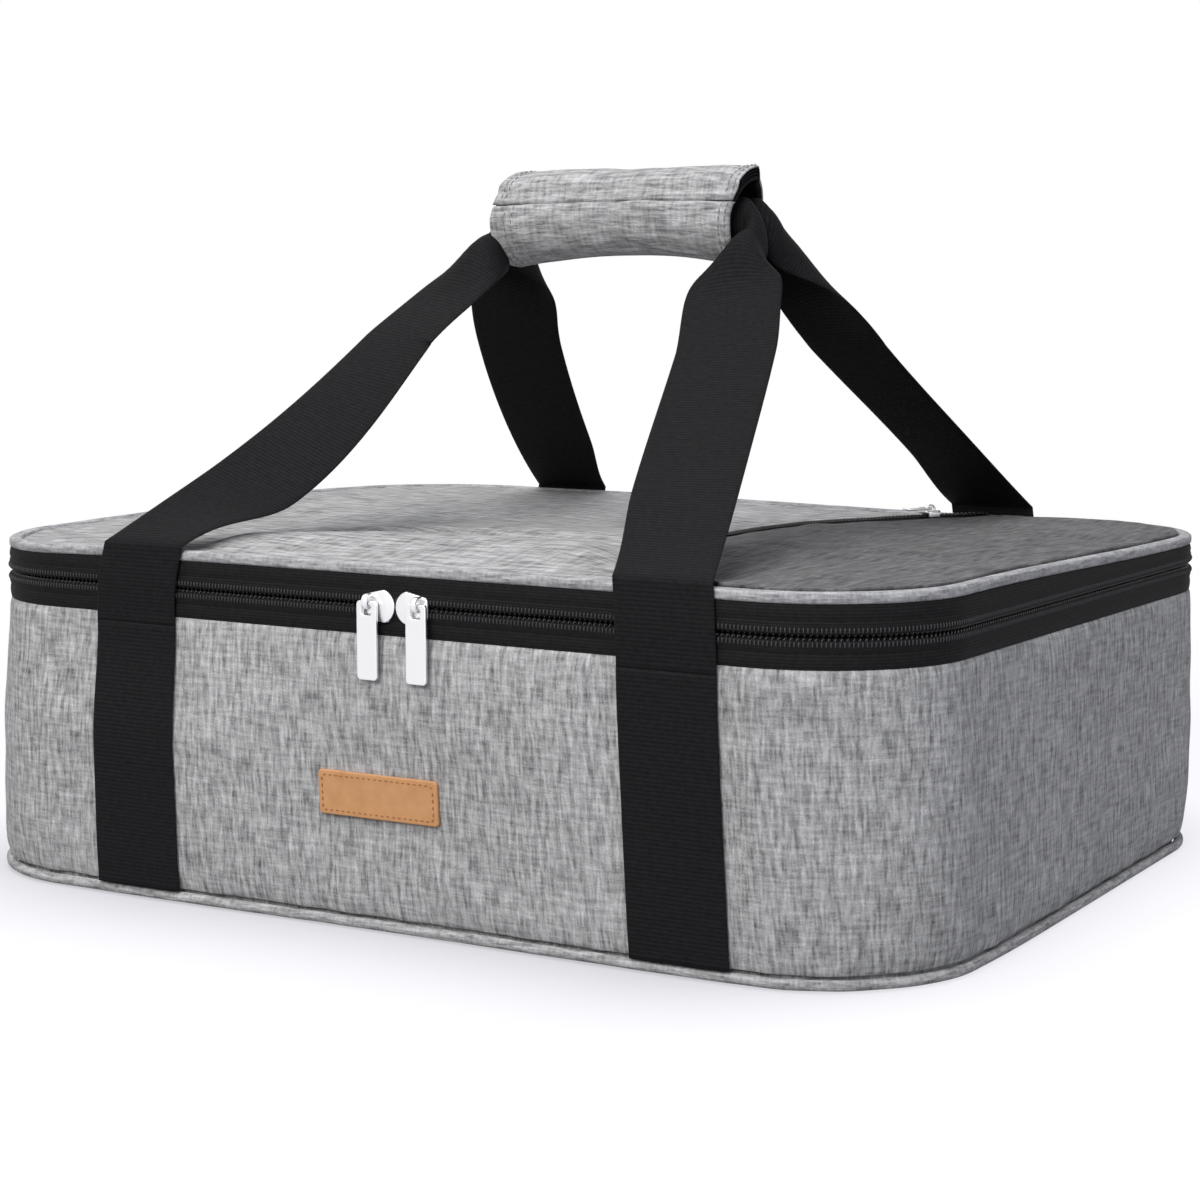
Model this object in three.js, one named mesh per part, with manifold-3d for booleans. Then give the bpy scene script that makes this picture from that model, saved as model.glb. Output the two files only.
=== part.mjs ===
// Insulated carrying bag for a baking dish: a lined tub with a zipped lid, two webbing handles
// that meet in a padded wrap over the lid, and a flat zipped pocket on the lid.
// Millimetres. +Z is up, +X runs to the right along the front, +Y points to the rear.
// The origin is the middle of the base, on the surface that the bag stands on.
import * as THREE from 'three';
import { mergeVertices } from 'three/addons/utils/BufferGeometryUtils.js';
import Module from 'manifold-3d';

const wasm = await Module();
wasm.setup();

// Driving sizes of the bag's body
const bagWidth = 406;
const bagDepth = 320;
const cornerRadius = 54;
const wallTop = 106.5;
const bandHeight = 21;
const cornerSteps = 7;

// Layers, from the outside in
const seamGap = 0.3;
const fabricThickness = 1.2;
const wallFoamThickness = 7;
const baseFoamThickness = 6;
const lidFoamThickness = 8;
const liningThickness = 0.8;
const tapeThickness = 0.8;
const bindingHeight = 5.9;

// Piping along the bottom seam and round the lid
const basePipingDiameter = 4.6;
const basePipingProud = 1.3;
const lidPipingHeight = 4.5;
const lidPipingWidth = 4.5;

// Main zip
const tapeSink = 2;
const coilHeight = 2.6;
const coilThickness = 1.5;
const chainGap = 2;
const sliderLength = 13.5;
const sliderHeight = 12;
const sliderTailHeight = 8.4;
const sliderPlate = 1.5;
const sliderBackHeight = 7.4;
const sliderClearance = 0.5;
const sliderWeb = 1.2;
const sliderFlange = 1.3;
const sliderMeetX = 13.7;
const bailThickness = 1.3;
const bailWidth = 2.2;
const bailHeight = 5.6;
const bailAboveChain = 1.65;
const bailClearance = 0.5;
const pullWidth = 8.6;
const pullLength = 28;
const pullThickness = 1.4;
const pullBar = 1.5;
const pullWindowWidth = 5;
const pullWindowHeight = 5.6;
const pullFromNose = 10.2;
const pullClearance = 0.9;

// Webbing handles
const webbingWidth = 38;
const webbingThickness = 1.5;
const frontLoopSpread = 228;
const frontLoopShift = 7;
const rearLoopSpread = 222;
const rearLoopShift = -11;
const sewnTop = 103;
const bandBow = 0.7;
const bandRows = 4;
const kneeAlong = 130;
const legRows = 7;
const neckRows = 12;
const rimRows = 5;
const acrossSteps = 12;
// Near the wrap the webbing folds in on itself, to an upright oval that is open along its lower side
const foldedTurn = THREE.MathUtils.degToRad(340);
const foldedNarrow = 0.52;
const foldedTall = 1.2;
const foldedOffset = 4.6;
const foldedSink = 1.6;
const rimReach = 6;
const rimInset = 1;
const twistPeak = 0.75;
const squareFrom = 0.45;
// How each leg hangs. shift: the crease is drawn in from the foot, and inset: the knee from the crease.
// bow: the leg bows in sideways. droop: it hangs below its leaning plane in the middle, and drop: at the
// wrap's rim. twist: its inner edge hangs lower, in degrees. foldFrom and foldTo: where it folds, up the plane.
const frontLegs = {
  left: { shift: 3.5, inset: 39, bow: 8, droop: 6, drop: 3, twist: 8, foldFrom: 116, foldTo: 172 },
  right: { shift: -1, inset: 38, bow: 2, droop: 9, drop: 6, twist: -9, foldFrom: 162, foldTo: 187 },
};
const rearLegs = {
  left: { shift: 3.5, inset: 43, bow: 5, droop: 11, drop: 6, twist: -9, foldFrom: 157, foldTo: 187 },
  right: { shift: 2, inset: 17, bow: -7, droop: 10, drop: 6, twist: -9, foldFrom: 136, foldTo: 180 },
};

// Padded wrap that holds the two handles together
const wrapLength = 107;
const wrapCentreX = 12;
const wrapCentreZ = 255;
const wrapBore = 13.5;
const wrapFlatness = 0.88;
const wrapPadThickness = 4.3;
const wrapClosedAngle = 40;
const gripTapeThickness = 0.8;
const wrapThinPad = 1.9;
const wrapEndOverlap = 1.6;
const wrapSteps = 14;
const gripSteps = 4;
const closureStart = 92;
const padStart = 93;
const gripStart = 96;
const gripMargin = 4;
const padStepSpan = 12;
const flapRiseFrom = 62;
const flapRiseSpan = 26;
const bottomSeam = 266;
const fullTurn = 360;
const seamAngle = 1;

// Leather tag on the front
const tagWidth = 50.5;
const tagHeight = 16;
const tagThickness = 1.5;
const tagCorner = 1.5;
const tagCentreZ = 49.2;

// Pocket on the lid, with a zip that runs on a true arc
const pocketArcX = 282;
const pocketArcY = 15;
const pocketArcRadius = 230;
const pocketTapeHalf = 7;
const pocketTapeThickness = 0.6;
const pocketCoilWidth = 4.4;
const pocketCoilThickness = 1.4;
const pocketSliderAngle = 30;
const pocketSliderLength = 9;
const pocketSliderWidth = 7.4;
const pocketPlate = 1;
const pocketClearance = 0.4;
const pocketBail = 0.9;
const pocketBailWidth = 1.4;
const pocketBailLength = 5.2;
const pocketPullLength = 13;
const pocketPullWidth = 5.4;
const pocketPullThickness = 1;
const pocketPullBar = 1.1;
const pocketWindowWidth = 2.8;
const pocketWindowLength = 4;

// Places that follow from the sizes above
const halfWidth = bagWidth / 2;
const halfDepth = bagDepth / 2;
const bandTop = wallTop + bandHeight;
const chainZ = wallTop + bandHeight / 2;
const basePipingTop = basePipingDiameter + fabricThickness / 2;
const baseInset = basePipingDiameter - basePipingProud + seamGap;
const baseFoamTop = fabricThickness + seamGap + baseFoamThickness;
const liningFloor = baseFoamTop + seamGap;
const foamInset = fabricThickness + seamGap;
const liningInset = foamInset + wallFoamThickness + seamGap;
const foamTop = wallTop - bindingHeight - seamGap;
const tapeInner = tapeSink + tapeThickness;
const bindingInset = tapeInner + seamGap;
const lowerTapeTop = chainZ - chainGap / 2;
const upperTapeBottom = chainZ + chainGap / 2;
const coilOuter = tapeSink - seamGap - coilThickness;
const lidPipingBottom = bandTop;
const lidPipingTop = lidPipingBottom + lidPipingHeight;
const lidInset = lidPipingWidth + seamGap;
const lidSkinTop = lidPipingTop - 0.4;
const lidFoamTop = lidSkinTop - fabricThickness - seamGap;
const lidFoamBottom = lidFoamTop - lidFoamThickness;
const lidLiningTop = lidFoamBottom - seamGap;
const pocketBottom = lidSkinTop + seamGap;

const looks = {
  heather: { color: 0x9b9b9d, roughness: 0.95, metalness: 0 },
  darkHeather: { color: 0x5d5d5e, roughness: 0.95, metalness: 0 },
  webbing: { color: 0x262627, roughness: 0.85, metalness: 0 },
  zipTape: { color: 0x1f1f20, roughness: 0.9, metalness: 0 },
  coil: { color: 0x17171a, roughness: 0.45, metalness: 0 },
  foam: { color: 0xf2f2ee, roughness: 0.9, metalness: 0 },
  foil: { color: 0xc9ccd0, roughness: 0.35, metalness: 0.8 },
  leather: { color: 0xcc8f5c, roughness: 0.7, metalness: 0 },
  nickel: { color: 0xd5d6d8, roughness: 0.25, metalness: 1 },
  hookTape: { color: 0x222224, roughness: 1, metalness: 0 },
};

const bag = new THREE.Group();

function addPiece(name, geometry, look, parent = bag) {
  const mesh = new THREE.Mesh(geometry, new THREE.MeshStandardMaterial(looks[look]));
  mesh.name = name;
  parent.add(mesh);
  return mesh;
}

// Keeps only positions, with shared corners merged
function bare(geometry) {
  const copy = geometry.clone();
  copy.deleteAttribute('normal');
  copy.deleteAttribute('uv');
  return mergeVertices(copy, 1e-4);
}

function toSolid(geometry) {
  const merged = bare(geometry);
  return new wasm.Manifold(new wasm.Mesh({
    numProp: 3,
    vertProperties: new Float32Array(merged.attributes.position.array),
    triVerts: new Uint32Array(merged.index.array),
  }));
}

function fromSolid(solid) {
  const mesh = solid.getMesh();
  const geometry = new THREE.BufferGeometry();
  geometry.setAttribute('position', new THREE.BufferAttribute(mesh.vertProperties, 3));
  geometry.setIndex(new THREE.BufferAttribute(mesh.triVerts, 1));
  return geometry;
}

function join(...geometries) {
  return fromSolid(geometries.map(toSolid).reduce((sum, next) => sum.add(next)));
}

// A thin closed body between two faces. Each row holds as many points on face a as on face b.
// A looped body joins its last row to its first, and an open one is capped at both ends.
function skinBetween(rows, looped = false) {
  const across = rows[0].a.length;
  const points = rows.flatMap((row) => [...row.a, ...row.b]);
  const at = (row, side, k) => (row % rows.length) * 2 * across + side * across + k;
  const quads = [];
  const rowPairs = looped ? rows.length : rows.length - 1;
  for (let row = 0; row < rowPairs; row += 1) {
    for (let k = 0; k < across - 1; k += 1) {
      quads.push([at(row, 0, k), at(row, 0, k + 1), at(row + 1, 0, k + 1), at(row + 1, 0, k)]);
      quads.push([at(row, 1, k + 1), at(row, 1, k), at(row + 1, 1, k), at(row + 1, 1, k + 1)]);
    }
    const last = across - 1;
    quads.push([at(row, 1, 0), at(row, 0, 0), at(row + 1, 0, 0), at(row + 1, 1, 0)]);
    quads.push([at(row, 0, last), at(row, 1, last), at(row + 1, 1, last), at(row + 1, 0, last)]);
  }
  if (!looped) {
    const end = rows.length - 1;
    for (let k = 0; k < across - 1; k += 1) {
      quads.push([at(0, 1, k), at(0, 1, k + 1), at(0, 0, k + 1), at(0, 0, k)]);
      quads.push([at(end, 0, k), at(end, 0, k + 1), at(end, 1, k + 1), at(end, 1, k)]);
    }
  }
  const index = quads.flatMap(([p, q, r, s]) => [p, q, r, p, r, s]);
  return facingOut(points, index);
}

// Turns every triangle round when the body's signed volume is negative
function facingOut(points, index) {
  let volume = 0;
  for (let i = 0; i < index.length; i += 3) {
    const [p, q, r] = [points[index[i]], points[index[i + 1]], points[index[i + 2]]];
    volume += p.dot(new THREE.Vector3().crossVectors(q, r));
  }
  const turned = volume < 0 ? index.slice().reverse() : index;
  const geometry = new THREE.BufferGeometry();
  geometry.setAttribute('position', new THREE.Float32BufferAttribute(points.flatMap((p) => [p.x, p.y, p.z]), 3));
  geometry.setIndex(turned);
  return geometry;
}

// Stations on the bag's rounded outline: the centre of each corner and the angle from it, in degrees
function cornerStations(centreX, centreY, fromAngle, toAngle) {
  return Array.from({ length: cornerSteps + 1 }, (_, i) => ({
    x: centreX,
    y: centreY,
    angle: THREE.MathUtils.degToRad(fromAngle + ((toAngle - fromAngle) * i) / cornerSteps),
  }));
}

const cornerX = halfWidth - cornerRadius;
const cornerY = halfDepth - cornerRadius;

// From the rear right end, along the right side, the front and the left side, to the rear left end
const outline = [
  ...cornerStations(cornerX, cornerY, 90, 0),
  ...cornerStations(cornerX, -cornerY, 0, -90),
  ...cornerStations(-cornerX, -cornerY, -90, -180),
  ...cornerStations(-cornerX, cornerY, -180, -270),
];

function outlinePoint(station, inset, z) {
  const reach = cornerRadius - inset;
  return new THREE.Vector3(station.x + reach * Math.cos(station.angle), station.y + reach * Math.sin(station.angle), z);
}

// Sweeps a profile, as two lists of [inset, z], round the outline
function sweepOutline(outer, inner, looped) {
  const rows = outline.map((station) => ({
    a: outer.map(([inset, z]) => outlinePoint(station, inset, z)),
    b: inner.map(([inset, z]) => outlinePoint(station, inset, z)),
  }));
  return skinBetween(rows, looped);
}

function uprightRing(insetOut, insetIn, low, high, looped = true) {
  return sweepOutline([[insetOut, low], [insetOut, high]], [[insetIn, low], [insetIn, high]], looped);
}

function extrude(shape, depth, curveSegments) {
  return new THREE.ExtrudeGeometry(shape, { depth, bevelEnabled: false, curveSegments });
}

// A flat panel with the bag's outline, drawn in by inset
function plate(inset, low, high) {
  const shape = new THREE.Shape(outline.map((station) => {
    const point = outlinePoint(station, inset, 0);
    return new THREE.Vector2(point.x, point.y);
  }));
  return extrude(shape, high - low).translate(0, 0, low);
}

// Stands a piece drawn flat upright against the front: its +Y turns to +Z and its +Z to -Y
function standUp(geometry) {
  return geometry.rotateX(Math.PI / 2);
}

// Tub: outer cloth, foam and foil lining
addPiece('wall_fabric', uprightRing(0, fabricThickness, basePipingTop + seamGap, wallTop), 'heather');
addPiece('base_fabric', bare(plate(baseInset, 0, fabricThickness)), 'heather');
addPiece('base_foam', bare(plate(baseInset, fabricThickness + seamGap, baseFoamTop)), 'foam');
addPiece('wall_foam', uprightRing(foamInset, foamInset + wallFoamThickness, liningFloor, foamTop), 'foam');

const liningBlock = toSolid(plate(liningInset, liningFloor, wallTop));
const liningSpace = toSolid(plate(liningInset + liningThickness, liningFloor + liningThickness, wallTop + 1));
addPiece('tub_lining', fromSolid(liningBlock.subtract(liningSpace)), 'foil');

// Round piping in the bottom seam, as an eight-sided section
function pipingSection(centreInset, centreZ, radius) {
  const corner = (i) => {
    const angle = (Math.PI / 8) * (2 * i + 1);
    return [centreInset - radius * Math.sin(angle), centreZ - radius * Math.cos(angle)];
  };
  return { outer: [0, 1, 2, 3].map(corner), inner: [7, 6, 5, 4].map(corner) };
}

const basePiping = pipingSection(
  basePipingDiameter / 2 - basePipingProud,
  basePipingTop - basePipingDiameter / 2,
  basePipingDiameter / 2,
);
addPiece('base_piping', sweepOutline(basePiping.outer, basePiping.inner, true), 'heather');
addPiece('tub_seam_binding', uprightRing(bindingInset, liningInset - seamGap, foamTop + seamGap, wallTop), 'zipTape');

// Main zip, on the front and both sides: two tapes, each with its row of coil
addPiece('zip_tape_tub', uprightRing(tapeSink, tapeInner, foamTop + seamGap, lowerTapeTop, false), 'zipTape');
addPiece('zip_coil_tub', uprightRing(coilOuter, coilOuter + coilThickness, lowerTapeTop - coilHeight, lowerTapeTop, false), 'coil');
addPiece('zip_tape_lid', uprightRing(tapeSink, tapeInner, upperTapeBottom, bandTop - seamGap, false), 'zipTape');
addPiece('zip_coil_lid', uprightRing(coilOuter, coilOuter + coilThickness, upperTapeBottom, upperTapeBottom + coilHeight, false), 'coil');

// Cloth hinge between the ends of the zip, along the rear
const hingeStripLength = 2 * (cornerX - seamGap);
const hingeStripHeight = bandTop - wallTop - 2 * seamGap;
addPiece(
  'rear_hinge_strip',
  bare(new THREE.BoxGeometry(hingeStripLength, fabricThickness, hingeStripHeight)
    .translate(0, halfDepth - fabricThickness / 2, chainZ)),
  'heather',
);

// Lid: piping round its edge, binding behind the zip tape, foam, lining and top cloth
const bevel = 1.2;
addPiece(
  'lid_piping',
  sweepOutline(
    [[bevel, lidPipingBottom], [0, lidPipingBottom + bevel], [0, lidPipingTop - bevel], [bevel, lidPipingTop]],
    [
      [lidPipingWidth - bevel, lidPipingBottom],
      [lidPipingWidth, lidPipingBottom + bevel],
      [lidPipingWidth, lidPipingTop - bevel],
      [lidPipingWidth - bevel, lidPipingTop],
    ],
    true,
  ),
  'heather',
);
addPiece('lid_seam_binding', uprightRing(bindingInset, lidInset - seamGap, lidFoamBottom, bandTop - seamGap), 'zipTape');
addPiece('lid_foam', bare(plate(lidInset, lidFoamBottom, lidFoamTop)), 'foam');
addPiece('lid_lining', bare(plate(lidInset, lidLiningTop - liningThickness, lidLiningTop)), 'foil');
addPiece('lid_fabric', bare(plate(lidInset, lidFoamTop + seamGap, lidSkinTop)), 'heather');

// Pocket on the lid: a dark panel inside the arc, and the arc's zip
const arcSteps = 72;

function disc(radius, low, high) {
  const shape = new THREE.Shape().absarc(pocketArcX, pocketArcY, radius, 0, 2 * Math.PI);
  return toSolid(extrude(shape, high - low, arcSteps).translate(0, 0, low));
}

function arcBand(innerRadius, outerRadius, low, high) {
  const lidTop = toSolid(plate(lidInset, low - 1, high + 1));
  return fromSolid(disc(outerRadius, low, high).subtract(disc(innerRadius, low - 1, high + 1)).intersect(lidTop));
}

const pocketTapeTop = pocketBottom + pocketTapeThickness;
const pocketCoilBottom = pocketTapeTop + seamGap;
const pocketCoilTop = pocketCoilBottom + pocketCoilThickness;
const panelRadius = pocketArcRadius - pocketTapeHalf - seamGap;
const panelArea = toSolid(plate(lidInset, pocketBottom - 1, pocketBottom + fabricThickness + 1));
const pocketPanel = disc(panelRadius, pocketBottom, pocketBottom + fabricThickness).intersect(panelArea);
addPiece('pocket_panel', fromSolid(pocketPanel), 'darkHeather');
addPiece(
  'pocket_zip_tape',
  arcBand(pocketArcRadius - pocketTapeHalf, pocketArcRadius + pocketTapeHalf, pocketBottom, pocketTapeTop),
  'zipTape',
);
addPiece(
  'pocket_zip_coil',
  arcBand(
    pocketArcRadius - pocketCoilWidth / 2,
    pocketArcRadius + pocketCoilWidth / 2,
    pocketCoilBottom,
    pocketCoilTop,
  ),
  'coil',
);

// Webbing handles. Each is one length of webbing: sewn up the wall, over the zip band, leaning in
// over the lid, and folded in on itself where it turns round the wrap's rim and runs through the wrap.
const wallY = halfDepth + seamGap + webbingThickness / 2;
const creaseZ = lidPipingTop + 1;
const legRise = wrapCentreZ - foldedSink - creaseZ;
const legRun = wallY - foldedOffset;
const legAngle = Math.atan2(legRise, legRun);
const leanLength = Math.hypot(legRise, legRun);

// Distance down the slope from the folded webbing's axis to the wall of the wrap's bore
const downSlope = foldedOffset * Math.cos(legAngle) + foldedSink * Math.sin(legAngle);
const rimAlong = Math.sqrt(downSlope ** 2 + wrapBore ** 2 - foldedOffset ** 2 - foldedSink ** 2) - downSlope;
const neckAlong = leanLength - rimAlong;

function smooth(t) {
  const clamped = Math.min(Math.max(t, 0), 1);
  return clamped * clamped * (3 - 2 * clamped);
}

// A leg's route in its leaning plane, as points (x, distance up the plane): a bowed run to the knee,
// a cubic to the neck beside the wrap's rim, and a quarter of an ellipse round the rim into the bore.
// into grows from 0 to 1 round the rim.
function legRoute(side, creaseX, hang) {
  const neckX = wrapCentreX + side * (wrapLength / 2 - rimInset + rimReach);
  const kneeX = creaseX - side * hang.inset;
  const route = [];
  for (let i = 0; i <= legRows; i += 1) {
    const t = i / legRows;
    const x = THREE.MathUtils.lerp(creaseX, kneeX, t) - side * hang.bow * Math.sin(Math.PI * t);
    route.push({ x, along: kneeAlong * t, into: 0 });
  }
  const rise = neckAlong - kneeAlong;
  const startSlope = ((kneeX - creaseX) / kneeAlong) * rise;
  for (let i = 1; i <= neckRows; i += 1) {
    const t = i / neckRows;
    const x = THREE.MathUtils.lerp(kneeX, neckX, smooth(t)) + startSlope * t * (1 - t) ** 2;
    route.push({ x, along: kneeAlong + rise * t, into: 0 });
  }
  for (let i = 1; i <= rimRows; i += 1) {
    const into = i / rimRows;
    const angle = (Math.PI / 2) * into;
    const x = neckX - side * rimReach * (1 - Math.cos(angle));
    route.push({ x, along: neckAlong + rimAlong * Math.sin(angle), into });
  }
  return route;
}

// One leg of a loop, from its foot on the wall into the wrap's bore, as rows of points.
// side is -1 for the left leg and 1 for the right one; face is -1 for the front loop and 1 for the rear one.
function legRowsFor(side, face, footX, hang) {
  const slope = new THREE.Vector3(0, -face * Math.cos(legAngle), Math.sin(legAngle));
  const outward = new THREE.Vector3(0, face * Math.sin(legAngle), Math.cos(legAngle));
  const flat = new THREE.Vector3(0, face, 0);
  const upright = new THREE.Vector3(0, 0, 1);
  const outerEdge = new THREE.Vector3(side, 0, 0);
  const creaseX = footX - side * hang.shift;

  // Up the wall, a little proud of the zip band, to the crease at the lid's edge
  const rows = Array.from({ length: bandRows }, (_, i) => {
    const t = i / bandRows;
    const y = face * (wallY + bandBow * Math.sin(Math.PI * t));
    const z = THREE.MathUtils.lerp(sewnTop + seamGap, creaseZ, t);
    return webbingRow(new THREE.Vector3(THREE.MathUtils.lerp(footX, creaseX, t), y, z), outerEdge, flat, 0);
  });

  // Over the lid: each row is square to the route, and turned about it by the twist
  const route = legRoute(side, creaseX, hang);
  const twistAt = (share) => THREE.MathUtils.degToRad(hang.twist) * Math.sin(Math.PI * share ** twistPeak);
  const centres = route.map(({ x, along, into }) => {
    const share = Math.min(along / neckAlong, 1);
    const sink = 4 * hang.droop * share * (1 - share) + hang.drop * smooth(share) * (1 - smooth(into))
      + (webbingWidth / 2) * Math.sin(twistAt(share));
    return new THREE.Vector3(x, face * wallY, creaseZ).addScaledVector(slope, along).addScaledVector(outward, -sink);
  });
  route.forEach(({ along, into }, i) => {
    const share = Math.min(along / neckAlong, 1);
    const tangent = centres[Math.min(i + 1, centres.length - 1)].clone().sub(centres[Math.max(i - 1, 0)]);
    if (into === 1) tangent.set(-side, 0, 0);
    const normal = outward.clone().lerp(upright, smooth(into)).normalize();
    const square = new THREE.Vector3().crossVectors(tangent, normal).multiplyScalar(-side * face).normalize();
    const across = outerEdge.clone().lerp(square, smooth(share / squareFrom)).normalize();
    const twist = twistAt(share);
    const turned = across.clone().multiplyScalar(Math.cos(twist)).addScaledVector(normal, Math.sin(twist));
    const facing = i === 0
      ? normal.clone().add(flat).normalize()
      : normal.clone().multiplyScalar(Math.cos(twist)).addScaledVector(across, -Math.sin(twist));
    const fold = into > 0 ? 1 : smooth((along - hang.foldFrom) / (hang.foldTo - hang.foldFrom));
    rows.push(webbingRow(centres[i], turned, facing, fold));
  });
  return rows;
}

// Points across the webbing: flat when fold is 0, and folded in to the oval when it is 1.
// The section is an arc of the webbing's full width, drawn narrower and taller as it closes.
function webbingRow(centre, across, normal, fold) {
  const bend = Math.max(fold, 1e-4) * foldedTurn;
  const radius = webbingWidth / bend;
  const narrow = THREE.MathUtils.lerp(1, foldedNarrow, fold);
  const tall = THREE.MathUtils.lerp(1, foldedTall, fold);
  const middle = Math.sin(bend / 2) / (bend / 2);
  const face = (offset) => Array.from({ length: acrossSteps + 1 }, (_, k) => {
    const angle = (k / acrossSteps - 0.5) * bend;
    const lean = new THREE.Vector2(tall * Math.sin(angle), narrow * Math.cos(angle)).setLength(offset);
    return centre.clone()
      .addScaledVector(across, radius * narrow * Math.sin(angle) + lean.x)
      .addScaledVector(normal, radius * tall * (Math.cos(angle) - middle) + lean.y);
  });
  return { a: face(webbingThickness / 2), b: face(-webbingThickness / 2) };
}

function loopOfWebbing(spread, shift, face, legs) {
  const left = legRowsFor(-1, face, shift - spread / 2, legs.left);
  const right = legRowsFor(1, face, shift + spread / 2, legs.right);
  return skinBetween([...left, ...right.reverse()]);
}

addPiece('front_webbing', loopOfWebbing(frontLoopSpread, frontLoopShift, -1, frontLegs), 'webbing');
addPiece('rear_webbing', loopOfWebbing(rearLoopSpread, rearLoopShift, 1, rearLegs), 'webbing');

// The lengths of webbing that are sewn to the wall, from the bottom seam to the zip band
function sewnStrap(name, x, face) {
  const low = basePipingTop + seamGap;
  const box = new THREE.BoxGeometry(webbingWidth, webbingThickness, sewnTop - low);
  addPiece(name, bare(box.translate(x, face * wallY, (sewnTop + low) / 2)), 'webbing');
}

sewnStrap('strap_front_left', frontLoopShift - frontLoopSpread / 2, -1);
sewnStrap('strap_front_right', frontLoopShift + frontLoopSpread / 2, -1);
sewnStrap('strap_rear_left', rearLoopShift - rearLoopSpread / 2, 1);
sewnStrap('strap_rear_right', rearLoopShift + rearLoopSpread / 2, 1);

// Padded wrap. Angles are measured about its axis from the rear (+Y) through the top: 90 is the top,
// 180 the front and 270 the bottom. The pad holds the front half, the flap the rear half and the closure.
// The whole wrap is a little flattened from front to rear.
function wrapShell(fromAngle, toAngle, steps, innerAt, outerAt) {
  const left = wrapCentreX - wrapLength / 2;
  const right = wrapCentreX + wrapLength / 2;
  const rows = Array.from({ length: steps + 1 }, (_, i) => {
    const angle = THREE.MathUtils.lerp(fromAngle, toAngle, i / steps);
    const radians = THREE.MathUtils.degToRad(angle);
    const arm = new THREE.Vector3(0, wrapFlatness * Math.cos(radians), Math.sin(radians));
    const ends = (radius) => [left, right].map((x) => arm.clone().multiplyScalar(radius)
      .add(new THREE.Vector3(x, 0, wrapCentreZ)));
    return { a: ends(outerAt(angle)), b: ends(innerAt(angle)) };
  });
  return skinBetween(rows);
}

const wrapOuter = wrapBore + wrapPadThickness;
const closureEnd = closureStart + wrapClosedAngle;
const loopBottom = wrapBore + wrapThinPad + seamGap;
const hookBottom = loopBottom + gripTapeThickness + seamGap;
const flapEndBottom = hookBottom + gripTapeThickness + seamGap;
const padOuterAt = (angle) => THREE.MathUtils.lerp(
  wrapBore + wrapThinPad,
  wrapOuter,
  smooth((angle - closureEnd) / padStepSpan),
);
const flapRise = (angle) => smooth((angle - flapRiseFrom) / flapRiseSpan);
const flapInnerAt = (angle) => THREE.MathUtils.lerp(wrapBore, flapEndBottom, flapRise(angle));
const flapOuterAt = (angle) => THREE.MathUtils.lerp(wrapOuter, flapEndBottom + wrapEndOverlap, flapRise(angle));

addPiece('wrap_pad', wrapShell(padStart, bottomSeam - seamAngle, wrapSteps, () => wrapBore, padOuterAt), 'heather');
addPiece(
  'wrap_flap',
  wrapShell(bottomSeam - fullTurn, closureEnd, wrapSteps + gripSteps, flapInnerAt, flapOuterAt),
  'heather',
);
addPiece(
  'wrap_loop_tape',
  wrapShell(gripStart, closureEnd - gripMargin, gripSteps, () => loopBottom, () => loopBottom + gripTapeThickness),
  'hookTape',
);
addPiece(
  'wrap_hook_tape',
  wrapShell(gripStart, closureEnd - gripMargin, gripSteps, () => hookBottom, () => hookBottom + gripTapeThickness),
  'hookTape',
);

// Leather tag, sewn to the front wall between the handles
function roundedRectangle(width, height, radius) {
  const shape = new THREE.Shape();
  const x = width / 2 - radius;
  const y = height / 2 - radius;
  shape.absarc(x, y, radius, 0, Math.PI / 2);
  shape.absarc(-x, y, radius, Math.PI / 2, Math.PI);
  shape.absarc(-x, -y, radius, Math.PI, 1.5 * Math.PI);
  shape.absarc(x, -y, radius, 1.5 * Math.PI, 2 * Math.PI);
  shape.closePath();
  return shape;
}

const tag = standUp(extrude(roundedRectangle(tagWidth, tagHeight, tagCorner), tagThickness, 3));
addPiece('leather_tag', bare(tag), 'leather').position.set(frontLoopShift, -halfDepth - seamGap, tagCentreZ);

// Zip sliders are drawn flat: the chain runs along X, the nose points to +X and outward is +Z.
function teardrop(length, height, tailHeight) {
  const shape = new THREE.Shape();
  const nose = height / 2;
  const noseX = length / 2 - nose;
  const half = Math.PI * 0.42;
  shape.moveTo(-length / 2, -tailHeight / 2);
  shape.absarc(noseX, 0, nose, -half, half);
  shape.lineTo(-length / 2, tailHeight / 2);
  shape.closePath();
  return shape;
}

// A loop that stands out of the plate, in the plane of Y and Z: the pull's bar hangs in it
function bailLoop(reach, height, width, thickness) {
  const loop = roundedRectangle(reach, height, thickness);
  loop.holes.push(roundedRectangle(reach - 2 * thickness, height - 2 * thickness, thickness / 3));
  return extrude(loop, width, 3).translate(0, 0, -width / 2).rotateY(-Math.PI / 2).translate(0, 0, reach / 2);
}

// A flat pull with a window at its upper end. Its origin is the middle of the bar above the window.
function pullPlate(width, length, thickness, bar, windowWidth, windowHeight) {
  const shape = roundedRectangle(width, length, 1);
  const window = roundedRectangle(windowWidth, windowHeight, 0.6);
  const windowY = length / 2 - bar - windowHeight / 2;
  shape.holes.push(new THREE.Path(window.getPoints(3).map((p) => new THREE.Vector2(p.x, p.y + windowY))));
  return extrude(shape, thickness, 3).translate(0, bar / 2 - length / 2, -thickness / 2);
}

function mirrored(geometry) {
  const copy = geometry.clone().scale(-1, 1, 1);
  copy.setIndex([...copy.index.array].reverse());
  return copy;
}

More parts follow.
